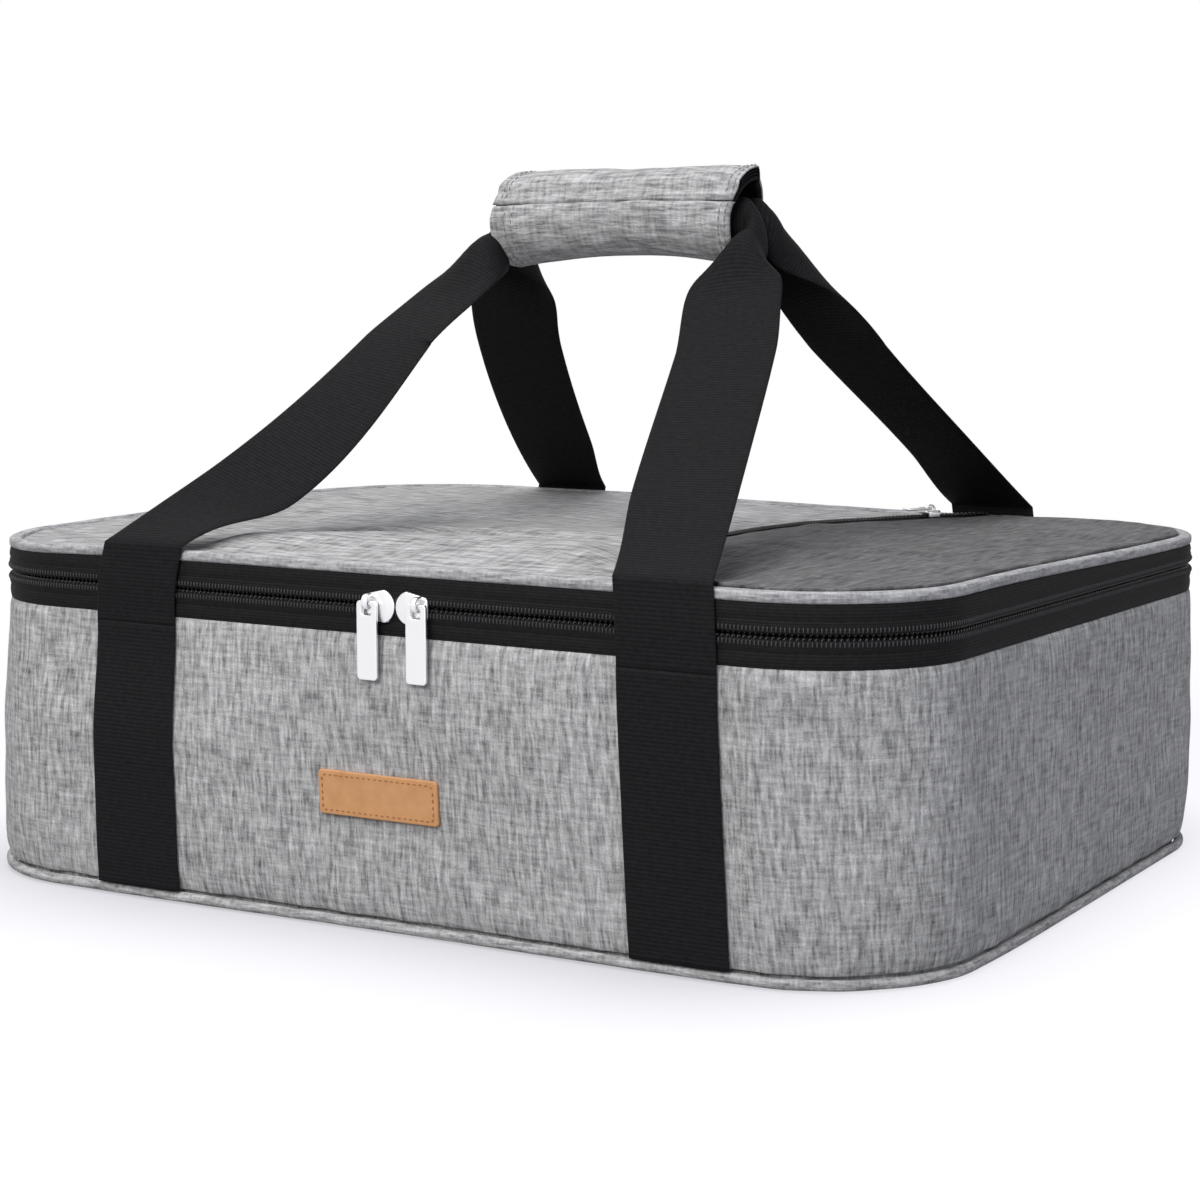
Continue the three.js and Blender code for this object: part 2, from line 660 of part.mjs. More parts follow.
// Main sliders. Here z = 0 is the wall's outer face. The upper edge is open, so that the lid's row can
// lift out, and the web between the plates runs in the gap between the two rows.
const frontPlateTop = sliderClearance + sliderPlate;
const backPlateTop = -(tapeInner + sliderClearance);
const pullPlane = frontPlateTop + pullClearance + pullThickness / 2;
const bailReach = pullPlane + pullThickness / 2 + bailClearance + bailThickness - sliderClearance;
const pullX = sliderLength / 2 - pullFromNose;
const pullPivotY = bailAboveChain - bailHeight / 2 + bailThickness + seamGap + pullBar / 2;

function sliderGeometry() {
  const front = extrude(teardrop(sliderLength, sliderHeight, sliderTailHeight), sliderPlate, 6);
  const back = extrude(teardrop(sliderLength, sliderBackHeight, sliderBackHeight * 0.8), sliderPlate, 4);
  const webLength = sliderLength / 2;
  const webDepth = sliderClearance - backPlateTop + sliderPlate;
  const flangeDepth = sliderClearance + tapeSink - seamGap;
  return join(
    front.translate(0, 0, sliderClearance),
    back.translate(0, 0, backPlateTop - sliderPlate),
    new THREE.BoxGeometry(webLength, sliderWeb, webDepth)
      .translate(webLength / 4, 0, (sliderClearance + backPlateTop) / 2),
    new THREE.BoxGeometry(sliderLength * 0.6, sliderFlange, flangeDepth + sliderPlate / 2)
      .translate(0, -sliderTailHeight / 2 - sliderFlange / 2, sliderClearance - flangeDepth / 2 + sliderPlate / 4),
    bailLoop(bailReach, bailHeight, bailWidth, bailThickness).translate(pullX, bailAboveChain, sliderClearance),
  );
}

const sliderShell = standUp(sliderGeometry());
const pullShell = bare(standUp(pullPlate(
  pullWidth,
  pullLength,
  pullThickness,
  pullBar,
  pullWindowWidth,
  pullWindowHeight,
)));

function addSlider(side, turn) {
  const shell = side === 'left' ? sliderShell : mirrored(sliderShell);
  const x = sliderMeetX - (turn * sliderLength) / 2 - turn * seamGap;
  addPiece(`zip_slider_${side}`, shell, 'nickel').position.set(x, -halfDepth, chainZ);
  addPiece(`zip_pull_${side}`, pullShell, 'nickel')
    .position.set(x + turn * pullX, -halfDepth - pullPlane, chainZ + pullPivotY);
}

addSlider('left', 1);
addSlider('right', -1);

// Pocket slider and pull, in a group that turns about the arc's centre, with the chain along its Y
const pocketTravel = new THREE.Group();
pocketTravel.position.set(pocketArcX, pocketArcY, pocketCoilTop);
pocketTravel.rotation.z = THREE.MathUtils.degToRad(180 - pocketSliderAngle);
bag.add(pocketTravel);

const pocketPlateLow = pocketClearance;
const pocketPlateTop = pocketPlateLow + pocketPlate;
const pocketPullPlane = pocketPlateTop + pocketClearance + pocketPullThickness / 2;
const pocketBailReach = pocketPullPlane + pocketPullThickness / 2 + pocketBail + seamGap - pocketPlateLow;
const pocketFlangeX = pocketCoilWidth / 2 + pocketClearance + pocketPlate / 2;
const flangeDrop = pocketCoilThickness + pocketPlateLow;

function pocketSliderGeometry() {
  const top = extrude(teardrop(pocketSliderLength, pocketSliderWidth, pocketSliderWidth * 0.8), pocketPlate, 4);
  const flange = (side) => new THREE.BoxGeometry(pocketPlate, pocketSliderLength * 0.6, flangeDrop + pocketPlate / 2)
    .translate(side * pocketFlangeX, 0, pocketPlateLow - flangeDrop / 2 + pocketPlate / 4);
  return join(
    top.rotateZ(-Math.PI / 2).translate(0, 0, pocketPlateLow),
    flange(-1),
    flange(1),
    bailLoop(pocketBailReach, pocketBailLength, pocketBailWidth, pocketBail).translate(0, 0, pocketPlateLow),
  );
}

addPiece('pocket_zip_slider', pocketSliderGeometry(), 'nickel', pocketTravel).position.set(pocketArcRadius, 0, 0);

const pocketPivotY = pocketBailLength / 2 - pocketBail - seamGap - pocketPullBar / 2;
const pocketPull = pullPlate(
  pocketPullWidth,
  pocketPullLength,
  pocketPullThickness,
  pocketPullBar,
  pocketWindowWidth,
  pocketWindowLength,
).rotateZ(Math.PI);
addPiece('pocket_zip_pull', bare(pocketPull), 'nickel', pocketTravel)
  .position.set(pocketArcRadius, pocketPivotY, pocketPullPlane);

export default bag;
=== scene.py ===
import math

import bmesh
import bpy
import numpy as np
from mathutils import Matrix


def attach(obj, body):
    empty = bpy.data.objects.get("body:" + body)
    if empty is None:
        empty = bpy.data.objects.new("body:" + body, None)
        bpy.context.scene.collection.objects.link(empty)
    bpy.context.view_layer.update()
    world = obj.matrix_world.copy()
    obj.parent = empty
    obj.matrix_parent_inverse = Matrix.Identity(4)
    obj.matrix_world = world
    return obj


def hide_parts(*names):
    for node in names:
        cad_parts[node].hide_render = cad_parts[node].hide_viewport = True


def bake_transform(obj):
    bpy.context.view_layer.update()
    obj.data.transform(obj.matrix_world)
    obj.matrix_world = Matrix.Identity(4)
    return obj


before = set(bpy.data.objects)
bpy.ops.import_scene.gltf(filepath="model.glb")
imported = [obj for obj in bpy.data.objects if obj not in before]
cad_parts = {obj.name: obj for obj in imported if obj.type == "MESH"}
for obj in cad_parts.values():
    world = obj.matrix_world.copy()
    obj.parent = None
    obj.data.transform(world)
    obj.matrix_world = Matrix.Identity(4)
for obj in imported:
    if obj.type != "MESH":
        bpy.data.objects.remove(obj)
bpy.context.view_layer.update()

MM = 0.001


# Room: a white photographer's table that runs on to a white background. The floor keeps the bag's soft
# shadow, the lamps are large softboxes, and the camera looks down a little from the right.
def linear(hex_colour):
    """Linear RGBA of an sRGB hex colour: ((c + 0.055) / 1.055) to the power 2.4, or c / 12.92 when dark."""
    srgb = np.array([int(hex_colour[i:i + 2], 16) for i in (1, 3, 5)]) / 255
    channels = np.where(srgb <= 0.04045, srgb / 12.92, ((srgb + 0.055) / 1.055) ** 2.4)
    return (*channels.tolist(), 1.0)


def add_node(tree, kind, inputs=None, **settings):
    """A node of that kind with its settings. An input is set to a value or linked to a socket, which for a
    node is its first output."""
    made = tree.nodes.new("ShaderNode" + kind)
    for name, value in settings.items():
        setattr(made, name, value)
    for name, value in (inputs or {}).items():
        if isinstance(value, bpy.types.Node):
            value = value.outputs[0]
        if isinstance(value, bpy.types.NodeSocket):
            tree.links.new(value, made.inputs[name])
        else:
            made.inputs[name].default_value = value
    return made


def new_finish(name):
    """A material with an empty node tree, and that tree."""
    finish = bpy.data.materials.new(name)
    finish.use_nodes = True
    finish.node_tree.nodes.clear()
    return finish, finish.node_tree


def placed(name, data):
    """An object of a mesh, a lamp or a camera, put into the scene."""
    made = bpy.data.objects.new(name, data)
    bpy.context.collection.objects.link(made)
    return made


def sees_background(tree):
    """1 for rays that see the room straight or in gloss and glass, else 0: three Light Path flags, added."""
    rays = add_node(tree, "LightPath").outputs
    mirrored = add_node(
        tree, "Math", {0: rays["Is Glossy Ray"], 1: rays["Is Transmission Ray"]}, operation="ADD"
    )
    return add_node(tree, "Math", {0: rays["Is Camera Ray"], 1: mirrored}, operation="ADD", use_clamp=True)


FLOOR_HALF = 6.0
floor_paper, tree = new_finish("white paper sweep")
looked_at = sees_background(tree)
# The paper is lit by the lamps, carries a painted shadow in its glow round the bag, and runs out to plain
# white from 0.3 to 0.8 m away
place = add_node(tree, "TexCoord").outputs["Object"]
distance = add_node(tree, "VectorMath", {0: place}, operation="LENGTH").outputs["Value"]
eased = {"interpolation_type": "SMOOTHSTEP"}
far = add_node(tree, "MapRange", {"Value": distance, "From Min": 0.3, "From Max": 0.8}, **eased)
far_seen = add_node(tree, "Math", {0: far, 1: looked_at}, operation="MULTIPLY")
paper = add_node(
    tree, "BsdfPrincipled", {"Base Color": linear("#6c6c70"), "Roughness": 0.9, "Specular IOR Level": 0.1}
)
# Painted shadow: its glow falls off close to the bag, where the floor sees less of the room, and it is
# painted brighter towards the right, where it falls off least
painted_shadow_ao = add_node(tree, "AmbientOcclusion", {"Distance": 0.07}, samples=8).outputs["AO"]
across = add_node(tree, "SeparateXYZ", {0: place}).outputs["X"]
painted_light_rightward = {"Value": across, "From Min": 0.1, "From Max": 0.25}
close_glow = add_node(tree, "MapRange", {**painted_light_rightward, "To Min": 0.54, "To Max": 0.86}, **eased)
open_glow = add_node(tree, "MapRange", {**painted_light_rightward, "To Min": 0.86, "To Max": 0.94}, **eased)
# Painted shadow and light: this glow is the floor's painted contact shadow and its painted brighter right
# side
painted_shade_glow = add_node(
    tree, "MapRange", {"Value": painted_shadow_ao, "From Min": 0.4, "To Min": close_glow, "To Max": open_glow}
)
lift = add_node(tree, "Emission", {"Color": linear("#fafaff"), "Strength": painted_shade_glow})
# Painted bounce light: the floor glows faintly for the rays that light the bag, which brightens its lower
# walls
painted_bounce_glow = add_node(tree, "Emission", {"Strength": 0.1})
lifted = add_node(tree, "MixShader", {0: looked_at, 1: painted_bounce_glow, 2: lift})
near = add_node(tree, "AddShader", {0: paper, 1: lifted})
white = add_node(tree, "Emission", {"Color": linear("#ffffff"), "Strength": 1.0})
seen = add_node(tree, "MixShader", {0: far_seen, 1: near, 2: white})
add_node(tree, "OutputMaterial", {"Surface": seen})

floor_mesh = bpy.data.meshes.new("floor")
floor_corners = [(x * FLOOR_HALF, y * FLOOR_HALF, 0) for x, y in ((-1, -1), (1, -1), (1, 1), (-1, 1))]
floor_mesh.from_pydata(floor_corners, [], [(0, 1, 2, 3)])
floor = placed("floor", floor_mesh)
floor.data.materials.append(floor_paper)

world = bpy.data.worlds.new("white studio")
bpy.context.scene.world = world
world.use_nodes = True
tree = world.node_tree
tree.nodes.clear()
looked_at = sees_background(tree)
studio = add_node(tree, "Background", {"Color": linear("#fbfcff"), "Strength": 0.3})
backdrop = add_node(tree, "Background", {"Color": linear("#ffffff"), "Strength": 1.0})
sky = add_node(tree, "MixShader", {0: looked_at, 1: studio, 2: backdrop})
add_node(tree, "OutputWorld", {"Surface": sky})


def softbox(name, place, target, size, power, colour):
    """A square area lamp at a place, turned so that its -Z axis points at the target."""
    lamp = bpy.data.lights.new(name, "AREA")
    lamp.size = size
    lamp.energy = power
    lamp.color = linear(colour)[:3]
    holder = placed(name, lamp)
    away = np.array(place, float) - np.array(target, float)
    yaw = math.atan2(away[0], -away[1])
    holder.rotation_euler = (math.acos(away[2] / np.linalg.norm(away)), 0, yaw)
    holder.location = place


softbox("key", (0.2, -1.8, 1.25), (0, 0, 0.1), 1.1, 25, "#fffefc")
softbox("fill", (1.8, -0.7, 0.9), (0, 0, 0.1), 1.2, 7, "#eef1ff")
softbox("top", (-0.25, -0.4, 1.75), (0, 0, 0.1), 1.2, 15, "#ffffff")

# The camera was fitted to the bag's edges in the photograph: 7 degrees down, 31.67 degrees right of the front
camera = placed("camera", bpy.data.cameras.new("camera"))
camera.location = (0.5295, -0.8639, 0.2263)
camera.rotation_euler = (math.radians(90 - 7.0), 0, math.radians(31.67))
camera.data.sensor_width = 36
camera.data.lens = 75.8
camera.data.clip_end = 50
bpy.context.scene.camera = camera
bpy.context.scene.view_settings.view_transform = "Standard"

# Tub wall: foam between an outer cloth of melange polyester and the lining, one long wall whose ends meet
# at the rear. The cloth puffs out a little between the straps and is pulled in where it is sewn at the top
# and the bottom.
BAG_WIDTH = 406.0
BAG_DEPTH = 320.0
CORNER_RADIUS = 54.0
WALL_LOW = 5.5
WALL_TOP = 106.5
WALL_HEIGHT = WALL_TOP - WALL_LOW
CLOTH = 1.2
FOAM_OUTER = 1.6
FOAM_INNER = 8.5
FOAM_TOP = 100.3
FOAM_LOW = 7.8
STRAP_WIDTH = 38.0
FRONT_STRAPS = (-107.0, 121.0)
REAR_STRAPS = (-122.0, 100.0)
OUTLINE_STEPS = 800
TAG_X = 3.0
TAG_Z = 49.2
TAG_WIDTH = 50.5
TAG_HEIGHT = 16.0
POCKET_X = 282.0
POCKET_Y = 15.0
POCKET_RADIUS = 230.0
POCKET_ANGLE = math.radians(150)

CORNER_X = BAG_WIDTH / 2 - CORNER_RADIUS
CORNER_Y = BAG_DEPTH / 2 - CORNER_RADIUS
ARC = CORNER_RADIUS * math.pi / 2
# Lengths of the outline's runs from the middle of the rear: half the rear, then corner and side in turn
RUNS = [CORNER_X, ARC, 2 * CORNER_Y, ARC, 2 * CORNER_X, ARC, 2 * CORNER_Y, ARC, CORNER_X]
STOPS = np.concatenate([[0], np.cumsum(RUNS)])
GIRTH = STOPS[-1]


def outline(distance):
    """Corner centre (x, y) and outward angle on the rounded outline at distances from the rear's middle. The
    centre slides along the straight runs, and the angle turns over the corners."""
    x = [k * CORNER_X for k in (0, 1, 1, 1, 1, -1, -1, -1, -1, 0)]
    y = [k * CORNER_Y for k in (1, 1, 1, -1, -1, -1, -1, 1, 1, 1)]
    turn = [90, 90, 0, 0, -90, -90, -180, -180, -270, -270]
    return (
        np.interp(distance, STOPS, x),
        np.interp(distance, STOPS, y),
        np.radians(np.interp(distance, STOPS, turn)),
    )


def around(distance, inset, height):
    """Points at an inset from the outline and a height: the centre plus (radius less inset)
    times the unit outwards."""
    x, y, turn = outline(distance)
    reach = CORNER_RADIUS - inset
    return np.stack(np.broadcast_arrays(x + reach * np.cos(turn), y + reach * np.sin(turn), height), -1)


def smooth(t):
    """3 t squared less 2 t cubed, with t held between 0 and 1."""
    t = np.clip(t, 0, 1)
    return t * t * (3 - 2 * t)


def near_arc(x, y):
    """1 on the pocket zip's arc, and 0 from some 30 mm to either side of it and at its front end."""
    off = np.hypot(x - POCKET_X, y - POCKET_Y) - POCKET_RADIUS
    return np.exp(-((off / 16) ** 2)) * smooth((y + 152) / 24)


def lid_tilt(x, y):
    """Rise of the lid's edge as the soft bag stands: down at the front left and the rear right, up a little
    in the middle of the left side. The pocket's zip is stiff and lies level along its arc."""
    low_left = -1.4 * np.exp(-((x + 195) / 60) ** 2 - ((y + 150) / 55) ** 2)
    high_left = 2.6 * np.exp(-((x + 200) / 60) ** 2 - ((y - 45) / 80) ** 2)
    fall = smooth((x + 110) / 220) * smooth((y + 90) / 190)
    fall = fall + (0.96 - fall) * near_arc(x, y)
    return low_left + high_left - 2.6 * fall


def settled(points):
    """The bag as it stands, soft and a little askew. Below 102 mm the walls turn with depth to 1.4 degrees at
    the foot, the front's left part pushes out 5 mm, the foot of each side spreads, and the front right corner
    tucks in. The lid's edge tilts."""
    x, y, z = points[..., 0], points[..., 1], points[..., 2]
    stiff_from = 102.0
    depth = np.clip((stiff_from - z) / stiff_from, 0, 1)
    belly = smooth(depth * 2.2) * (1 - 0.3 * depth)
    push = -5.0 * np.exp(-((x + 125) / 95) ** 2) * smooth((-y - 20) / 130) * belly
    spread = np.where(x < 0, -2.0, 0.8) * smooth((np.abs(x) - 90) / 110) * smooth((depth - 0.35) / 0.5)
    tuck = 3.5 * np.exp(-((x - 190) / 50) ** 2 - ((y + 145) / 50) ** 2) * depth ** 1.5
    turn = math.radians(1.55) * depth ** 2 / (depth + 0.12)
    cos, sin = np.cos(turn), np.sin(turn)
    rise = lid_tilt(x, y) * smooth((z - 121) / 6.5)
    return np.stack([x * cos - y * sin + spread - tuck, x * sin + y * cos + push + tuck, z + rise], -1)


def ripple(u, v, length_u, length_v, seed, waves=14):
    """Gentle creases: a sum of sine waves of random heading and phase, about one length long each way, over
    the root of their number."""
    rng = np.random.default_rng(seed)
    total = np.zeros(np.broadcast(u, v).shape)
    for _ in range(waves):
        across, along, phase = rng.normal(), rng.normal(), rng.uniform(0, 2 * math.pi)
        total += np.sin(2 * math.pi * (u * across / length_u + v * along / length_v) + phase)
    return total / math.sqrt(waves)


def surface(name, grid, uv, finish, body, ring=False):
    """A mesh of quads over a grid (rows, columns, xyz) in millimetres, with its UV map in metres. The last
    column joins the first, and in a ring the last row joins the first too; else both end rows are capped.
    Pieces of the tub and the lid stand as settled, and a negative signed volume is turned inside out."""
    rows, columns = grid.shape[:2]
    r, c = np.meshgrid(np.arange(rows if ring else rows - 1), np.arange(columns), indexing="ij")
    corners = [(r, c), (r, c + 1), (r + 1, c + 1), (r + 1, c)]
    quads = np.stack([(i % rows) * columns + j % columns for i, j in corners], -1).reshape(-1, 4)
    corner_uv = np.stack([uv[i, j] for i, j in corners], 2).reshape(-1, 2)
    if body in ("tub", "lid"):
        grid = settled(grid)
    points = grid.reshape(-1, 3) * MM
    p, q, s, t = (points[quads[:, k]] for k in range(4))
    volume = np.sum(p * (np.cross(q, s) + np.cross(s, t)))
    faces = quads.tolist()
    if not ring:
        end = np.arange(columns)
        faces += [end[::-1].tolist(), ((rows - 1) * columns + end).tolist()]
        corner_uv = np.concatenate([corner_uv, uv[0, end[::-1]], uv[-1, end]])
    mesh = bpy.data.meshes.new(name)
    mesh.from_pydata(points.tolist(), [], faces)
    mesh.uv_layers.new(name="UVMap").data.foreach_set("uv", corner_uv.astype(np.float32).ravel())
    if volume < 0:
        mesh.flip_normals()
    mesh.shade_smooth()
    if not ring:
        mesh.polygons[-1].use_smooth = mesh.polygons[-2].use_smooth = False
    mesh.materials.append(finish)
    piece = placed(name, mesh)
    if body:
        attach(piece, body)
    return piece


def melange_cloth(name, dark, light, coarse=1.0):
    """Plain weave of mixed light and dark yarns, as polyester melange: its thick-and-thin slubs run
    along V, and coarse cloth has its features larger by that share. Value = 0.4 long slubs + 0.26 fine
    yarns + 0.22 crossing slubs + 0.12 speckle, each a noise stretched along its yarn, and a broad change
    of shade over some 70 mm."""
    finish, tree = new_finish(name)
    uv = add_node(tree, "TexCoord").outputs["UV"]
    # Each layer has its features to the metre across and along the yarn, such as slubs of 1.9 x 12 mm and
    # yarns of 1 x 5 mm, its share, and a shift that makes its noise its own
    layers = [
        ((540, 80, 1), 0.4, 0), ((1100, 190, 1), 0.26, 13),
        ((90, 600, 1), 0.22, 31), ((1300, 1300, 1), 0.12, 57),
    ]
    noise = {"Scale": 1.0, "Detail": 1.5, "Roughness": 0.6, "Distortion": 0.04}
    value = None
    for scale, share, offset in layers:
        scale = [k / coarse for k in scale]
        stretched = add_node(tree, "Mapping", {"Vector": uv, "Scale": scale, "Location": (offset, offset, 0)})
        grain = add_node(tree, "TexNoise", {**noise, "Vector": stretched})
        streak = add_node(
            tree, "MapRange", {"Value": grain, "From Min": 0.33, "From Max": 0.67, "To Max": share}
        )
        value = add_node(tree, "Math", {0: value, 1: streak}, operation="ADD") if value else streak
    broad = add_node(tree, "TexNoise", {"Vector": uv, "Scale": 14.0, "Detail": 3.0})
    slight = {"From Min": 0.3, "From Max": 0.7, "To Min": -0.05, "To Max": 0.05}
    shade = add_node(tree, "MapRange", {**slight, "Value": broad})
    mixed = add_node(tree, "Math", {0: value, 1: shade}, operation="ADD", use_clamp=True)
    colour = add_node(tree, "Mix", {0: mixed, 6: linear(dark), 7: linear(light)}, data_type="RGBA")
    # Yarns lie 0.8 mm apart, twice the real pitch, so that the weave shows
    weave = add_node(tree, "TexVoronoi", {"Vector": uv, "Scale": 1250.0, "Randomness": 0.55})
    relief = add_node(tree, "Math", {0: weave, 1: 0.5, 2: value}, operation="MULTIPLY_ADD")
    # Loose slubs lift the cloth here and there, over some 4 mm
    lumps = add_node(tree, "TexNoise", {"Vector": uv, "Scale": 260.0, "Detail": 2.0, "Roughness": 0.5})
    height = add_node(tree, "Math", {0: lumps, 1: 1.6, 2: relief}, operation="MULTIPLY_ADD")
    bump = add_node(tree, "Bump", {"Height": height, "Strength": 0.5, "Distance": 0.0005})
    shader = add_node(
        tree, "BsdfPrincipled",
        {"Base Color": colour.outputs[2], "Roughness": 0.92, "Normal": bump,
         "Sheen Weight": 0.1, "Sheen Roughness": 0.4, "Specular IOR Level": 0.15},
    )
    add_node(tree, "OutputMaterial", {"Surface": shader})
    return finish


grey_cloth = melange_cloth("grey melange polyester", "#525253", "#dededf")


def strap_distance(x, straps):
    """Distance in millimetres from the nearer of the straps' edges, 0 under a strap."""
    gaps = [np.maximum(np.abs(x - centre) - STRAP_WIDTH / 2, 0) for centre in straps]
    return np.minimum(*gaps)


def wall_swell(distance, height):
    """How far the wall's cloth stands out: a crown over its height, none under the straps and the tag, with
    long soft waves and short puckers that fade from each seam, and a small tuck at the bottom seam."""
    y = outline(distance)[1]
    t = (height - WALL_LOW) / WALL_HEIGHT
    crown = (4 * t * (1 - t)) ** 0.4
    front = y < -CORNER_Y + 1
    rear = y > CORNER_Y - 1
    # Along the front and rear the centre x stops at the corners, and the distance gives the true place
    place = np.where(front, GIRTH / 2 - distance, np.where(distance > GIRTH / 2, distance - GIRTH, distance))
    beside_tag = np.maximum(np.abs(place - TAG_X) - TAG_WIDTH / 2, 0)
    over_tag = np.maximum(np.abs(height - TAG_Z) - TAG_HEIGHT / 2, 0)
    tag_gap = np.hypot(beside_tag, over_tag)
    free = np.where(
        front, smooth(strap_distance(place, FRONT_STRAPS) / 16) * smooth(tag_gap / 22),
        np.where(rear, smooth(strap_distance(place, REAR_STRAPS) / 16), 1),
    )
    waves = 0.55 * ripple(distance, height, 130, 70, 3)
    below, above = height - WALL_LOW, WALL_TOP - height
    puckers = 0.5 * ripple(distance, height * 0, 26, 60, 5) * (
        np.exp(-below / 11) + np.exp(-above / 9) * smooth(above / 5)
    )
    tuck = -1.3 * np.exp(-below / 2.8) - 0.6 * np.exp(-above / 1.2)
    return ((1.2 + waves) * crown + puckers) * free + tuck


wall_s = np.linspace(0, GIRTH, OUTLINE_STEPS, endpoint=False)
wall_z = WALL_LOW + WALL_HEIGHT * np.sin(np.linspace(-math.pi / 2, math.pi / 2, 54)) / 2 + WALL_HEIGHT / 2
s, z = np.meshgrid(wall_s, wall_z)
skin = around(s, -wall_swell(s, z), z)
inner_path = [
    (CLOTH, WALL_TOP), (FOAM_OUTER, FOAM_TOP), (FOAM_INNER, FOAM_TOP),
    (FOAM_INNER, FOAM_LOW), (FOAM_OUTER, FOAM_LOW),
]
wall_grid = np.concatenate([skin, np.stack([around(wall_s, inset, height) for inset, height in inner_path])])


def ring_uv(heights):
    """UV in metres for a ring: u runs round it to the seam's far side, and v is the height of each row."""
    u, v = np.meshgrid(np.linspace(0, GIRTH, OUTLINE_STEPS + 1) * MM, np.asarray(heights) * MM)
    return np.stack([u, v], -1)


heights = list(wall_z) + [height for _, height in inner_path] + [WALL_LOW]
wall = surface("tub_wall", wall_grid, ring_uv(heights), grey_cloth, "tub", ring=True)
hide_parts("wall_fabric", "wall_foam")

# Bottom: a foam board under the same cloth, flat on the table. The cloth is turned up round the board's edge
# into the bottom seam.
BOTTOM_INSET = 3.6
BOTTOM_TOP = 7.5


def panel(rim, rings=24):
    """The grid of a closed pad from its rim's section: rim is a list of (inset, height), run from
    the underside's edge round to the top's edge. Both faces run on in rings, each a share of the
    edge, to a small cap."""
    s = np.linspace(0, GIRTH, OUTLINE_STEPS // 2, endpoint=False)
    section = [around(s, inset, height) for inset, height in rim]
    shrink = np.linspace(1, 0.01, rings + 1)[1:]
    under, over = ([edge * [k, k, 1] for k in shrink] for edge in (section[0], section[-1]))
    return np.stack(under[::-1] + section + over)


def plan_uv(grid):
    """UV in metres straight from x and y, with the first column again after the last."""
    return np.concatenate([grid, grid[:, :1]], 1)[..., :2] * MM


bottom_rim = [
    (BOTTOM_INSET + 3, 0.0), (BOTTOM_INSET + 1, 0.4), (BOTTOM_INSET, 1.6), (BOTTOM_INSET, BOTTOM_TOP),
]
bottom_grid = panel(bottom_rim)
bottom = surface("tub_bottom", bottom_grid, plan_uv(bottom_grid), grey_cloth, "tub")
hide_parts("base_fabric", "base_foam")

# Piping in the bottom seam: a cord in a sleeve of the wall's cloth. It is sewn in by hand between wall and
# bottom, so it waves a little.
PIPING_RADIUS = 1.9
PIPING_PROUD = 1.0
PIPING_HEIGHT = 2.5


def round_ring(name, inset, height, half_in, half_up, finish, body, power=1.0, sides=16, waver=0.25, seed=8):
    """A closed ring of rounded section round the outline: inset and height plus half sizes times cosine and
    sine, each to the given power, so that a power below 1 squares the section."""
    s = np.linspace(0, GIRTH, OUTLINE_STEPS, endpoint=False)
    turn = np.linspace(0, 2 * math.pi, sides, endpoint=False)
    turns, distances = np.meshgrid(turn, s, indexing="ij")
    cos, sin = np.cos(turns), np.sin(turns)
    out = half_in * np.sign(cos) * np.abs(cos) ** power
    up = half_up * np.sign(sin) * np.abs(sin) ** power
    wave = waver * ripple(distances, 0 * distances, 34, 50, seed)
    grid = around(distances, inset - out - wave * 0.6, height + up + wave * 0.4)
    # The cloth is cut along its yarns, so they run round the ring
    uv = ring_uv(np.linspace(0, math.pi * (half_in + half_up), sides + 1))[..., ::-1]
    return surface(name, grid, uv, finish, body, ring=True)


piping = round_ring(
    "bottom_piping", PIPING_RADIUS - PIPING_PROUD, PIPING_HEIGHT, PIPING_RADIUS, PIPING_RADIUS,
    grey_cloth, "tub",
)
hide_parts("base_piping")

# Lining: a welded bag of aluminised film with a soft satin gloss, sewn in at the top seam. Fine creases cross
# it, and its inner skin hangs in soft waves.
LINING_INSET = 8.8
LINING = 0.8
LINING_FLOOR = 7.8
LINING_TOP = 106.5
lining_film, tree = new_finish("aluminised film")
uv = add_node(tree, "TexCoord").outputs["UV"]
creases = add_node(
    tree, "TexNoise", {"Vector": uv, "Scale": 38.0, "Detail": 6.0, "Roughness": 0.55, "Distortion": 0.9}
)
fine = add_node(tree, "TexVoronoi", {"Vector": uv, "Scale": 260.0}, feature="DISTANCE_TO_EDGE")
relief = add_node(tree, "Math", {0: fine, 1: 0.3, 2: creases}, operation="MULTIPLY_ADD")
bump = add_node(tree, "Bump", {"Height": relief, "Strength": 0.5, "Distance": 0.0015})
gloss = add_node(
    tree, "MapRange", {"Value": creases, "From Min": 0.3, "From Max": 0.7, "To Min": 0.24, "To Max": 0.42}
)
shader = add_node(
    tree, "BsdfPrincipled",
    {"Base Color": linear("#d5d8dc"), "Metallic": 0.85, "Roughness": gloss, "Normal": bump},
)
add_node(tree, "OutputMaterial", {"Surface": shader})


def outward_at(turn):
    """Level unit vectors at angles: (cosine, sine, 0)."""
    return np.stack([np.cos(turn), np.sin(turn), 0 * turn], -1)


def lining_skin(s, inset, floor, bend_radius=7.0):
    """One skin of the film, from the floor's middle out to a rounded corner and up the wall."""
    bend = np.radians(np.linspace(0, 90, 6))
    corner = [
        (inset + bend_radius * (1 - math.sin(b)), floor + bend_radius * (1 - math.cos(b))) for b in bend
    ]
    walls = [(inset, h) for h in np.linspace(floor + bend_radius + 4, LINING_TOP, 14)]
    rows = [around(s, i, h) for i, h in corner + walls]
    middle = [rows[0] * [k, k, 1] for k in np.linspace(0.01, 1, 22)[:-1]]
    return np.stack(middle + rows)


lining_s = np.linspace(0, GIRTH, OUTLINE_STEPS // 2, endpoint=False)
outer_skin = lining_skin(lining_s, LINING_INSET, LINING_FLOOR)
inner_skin = lining_skin(lining_s, LINING_INSET + LINING, LINING_FLOOR + LINING)
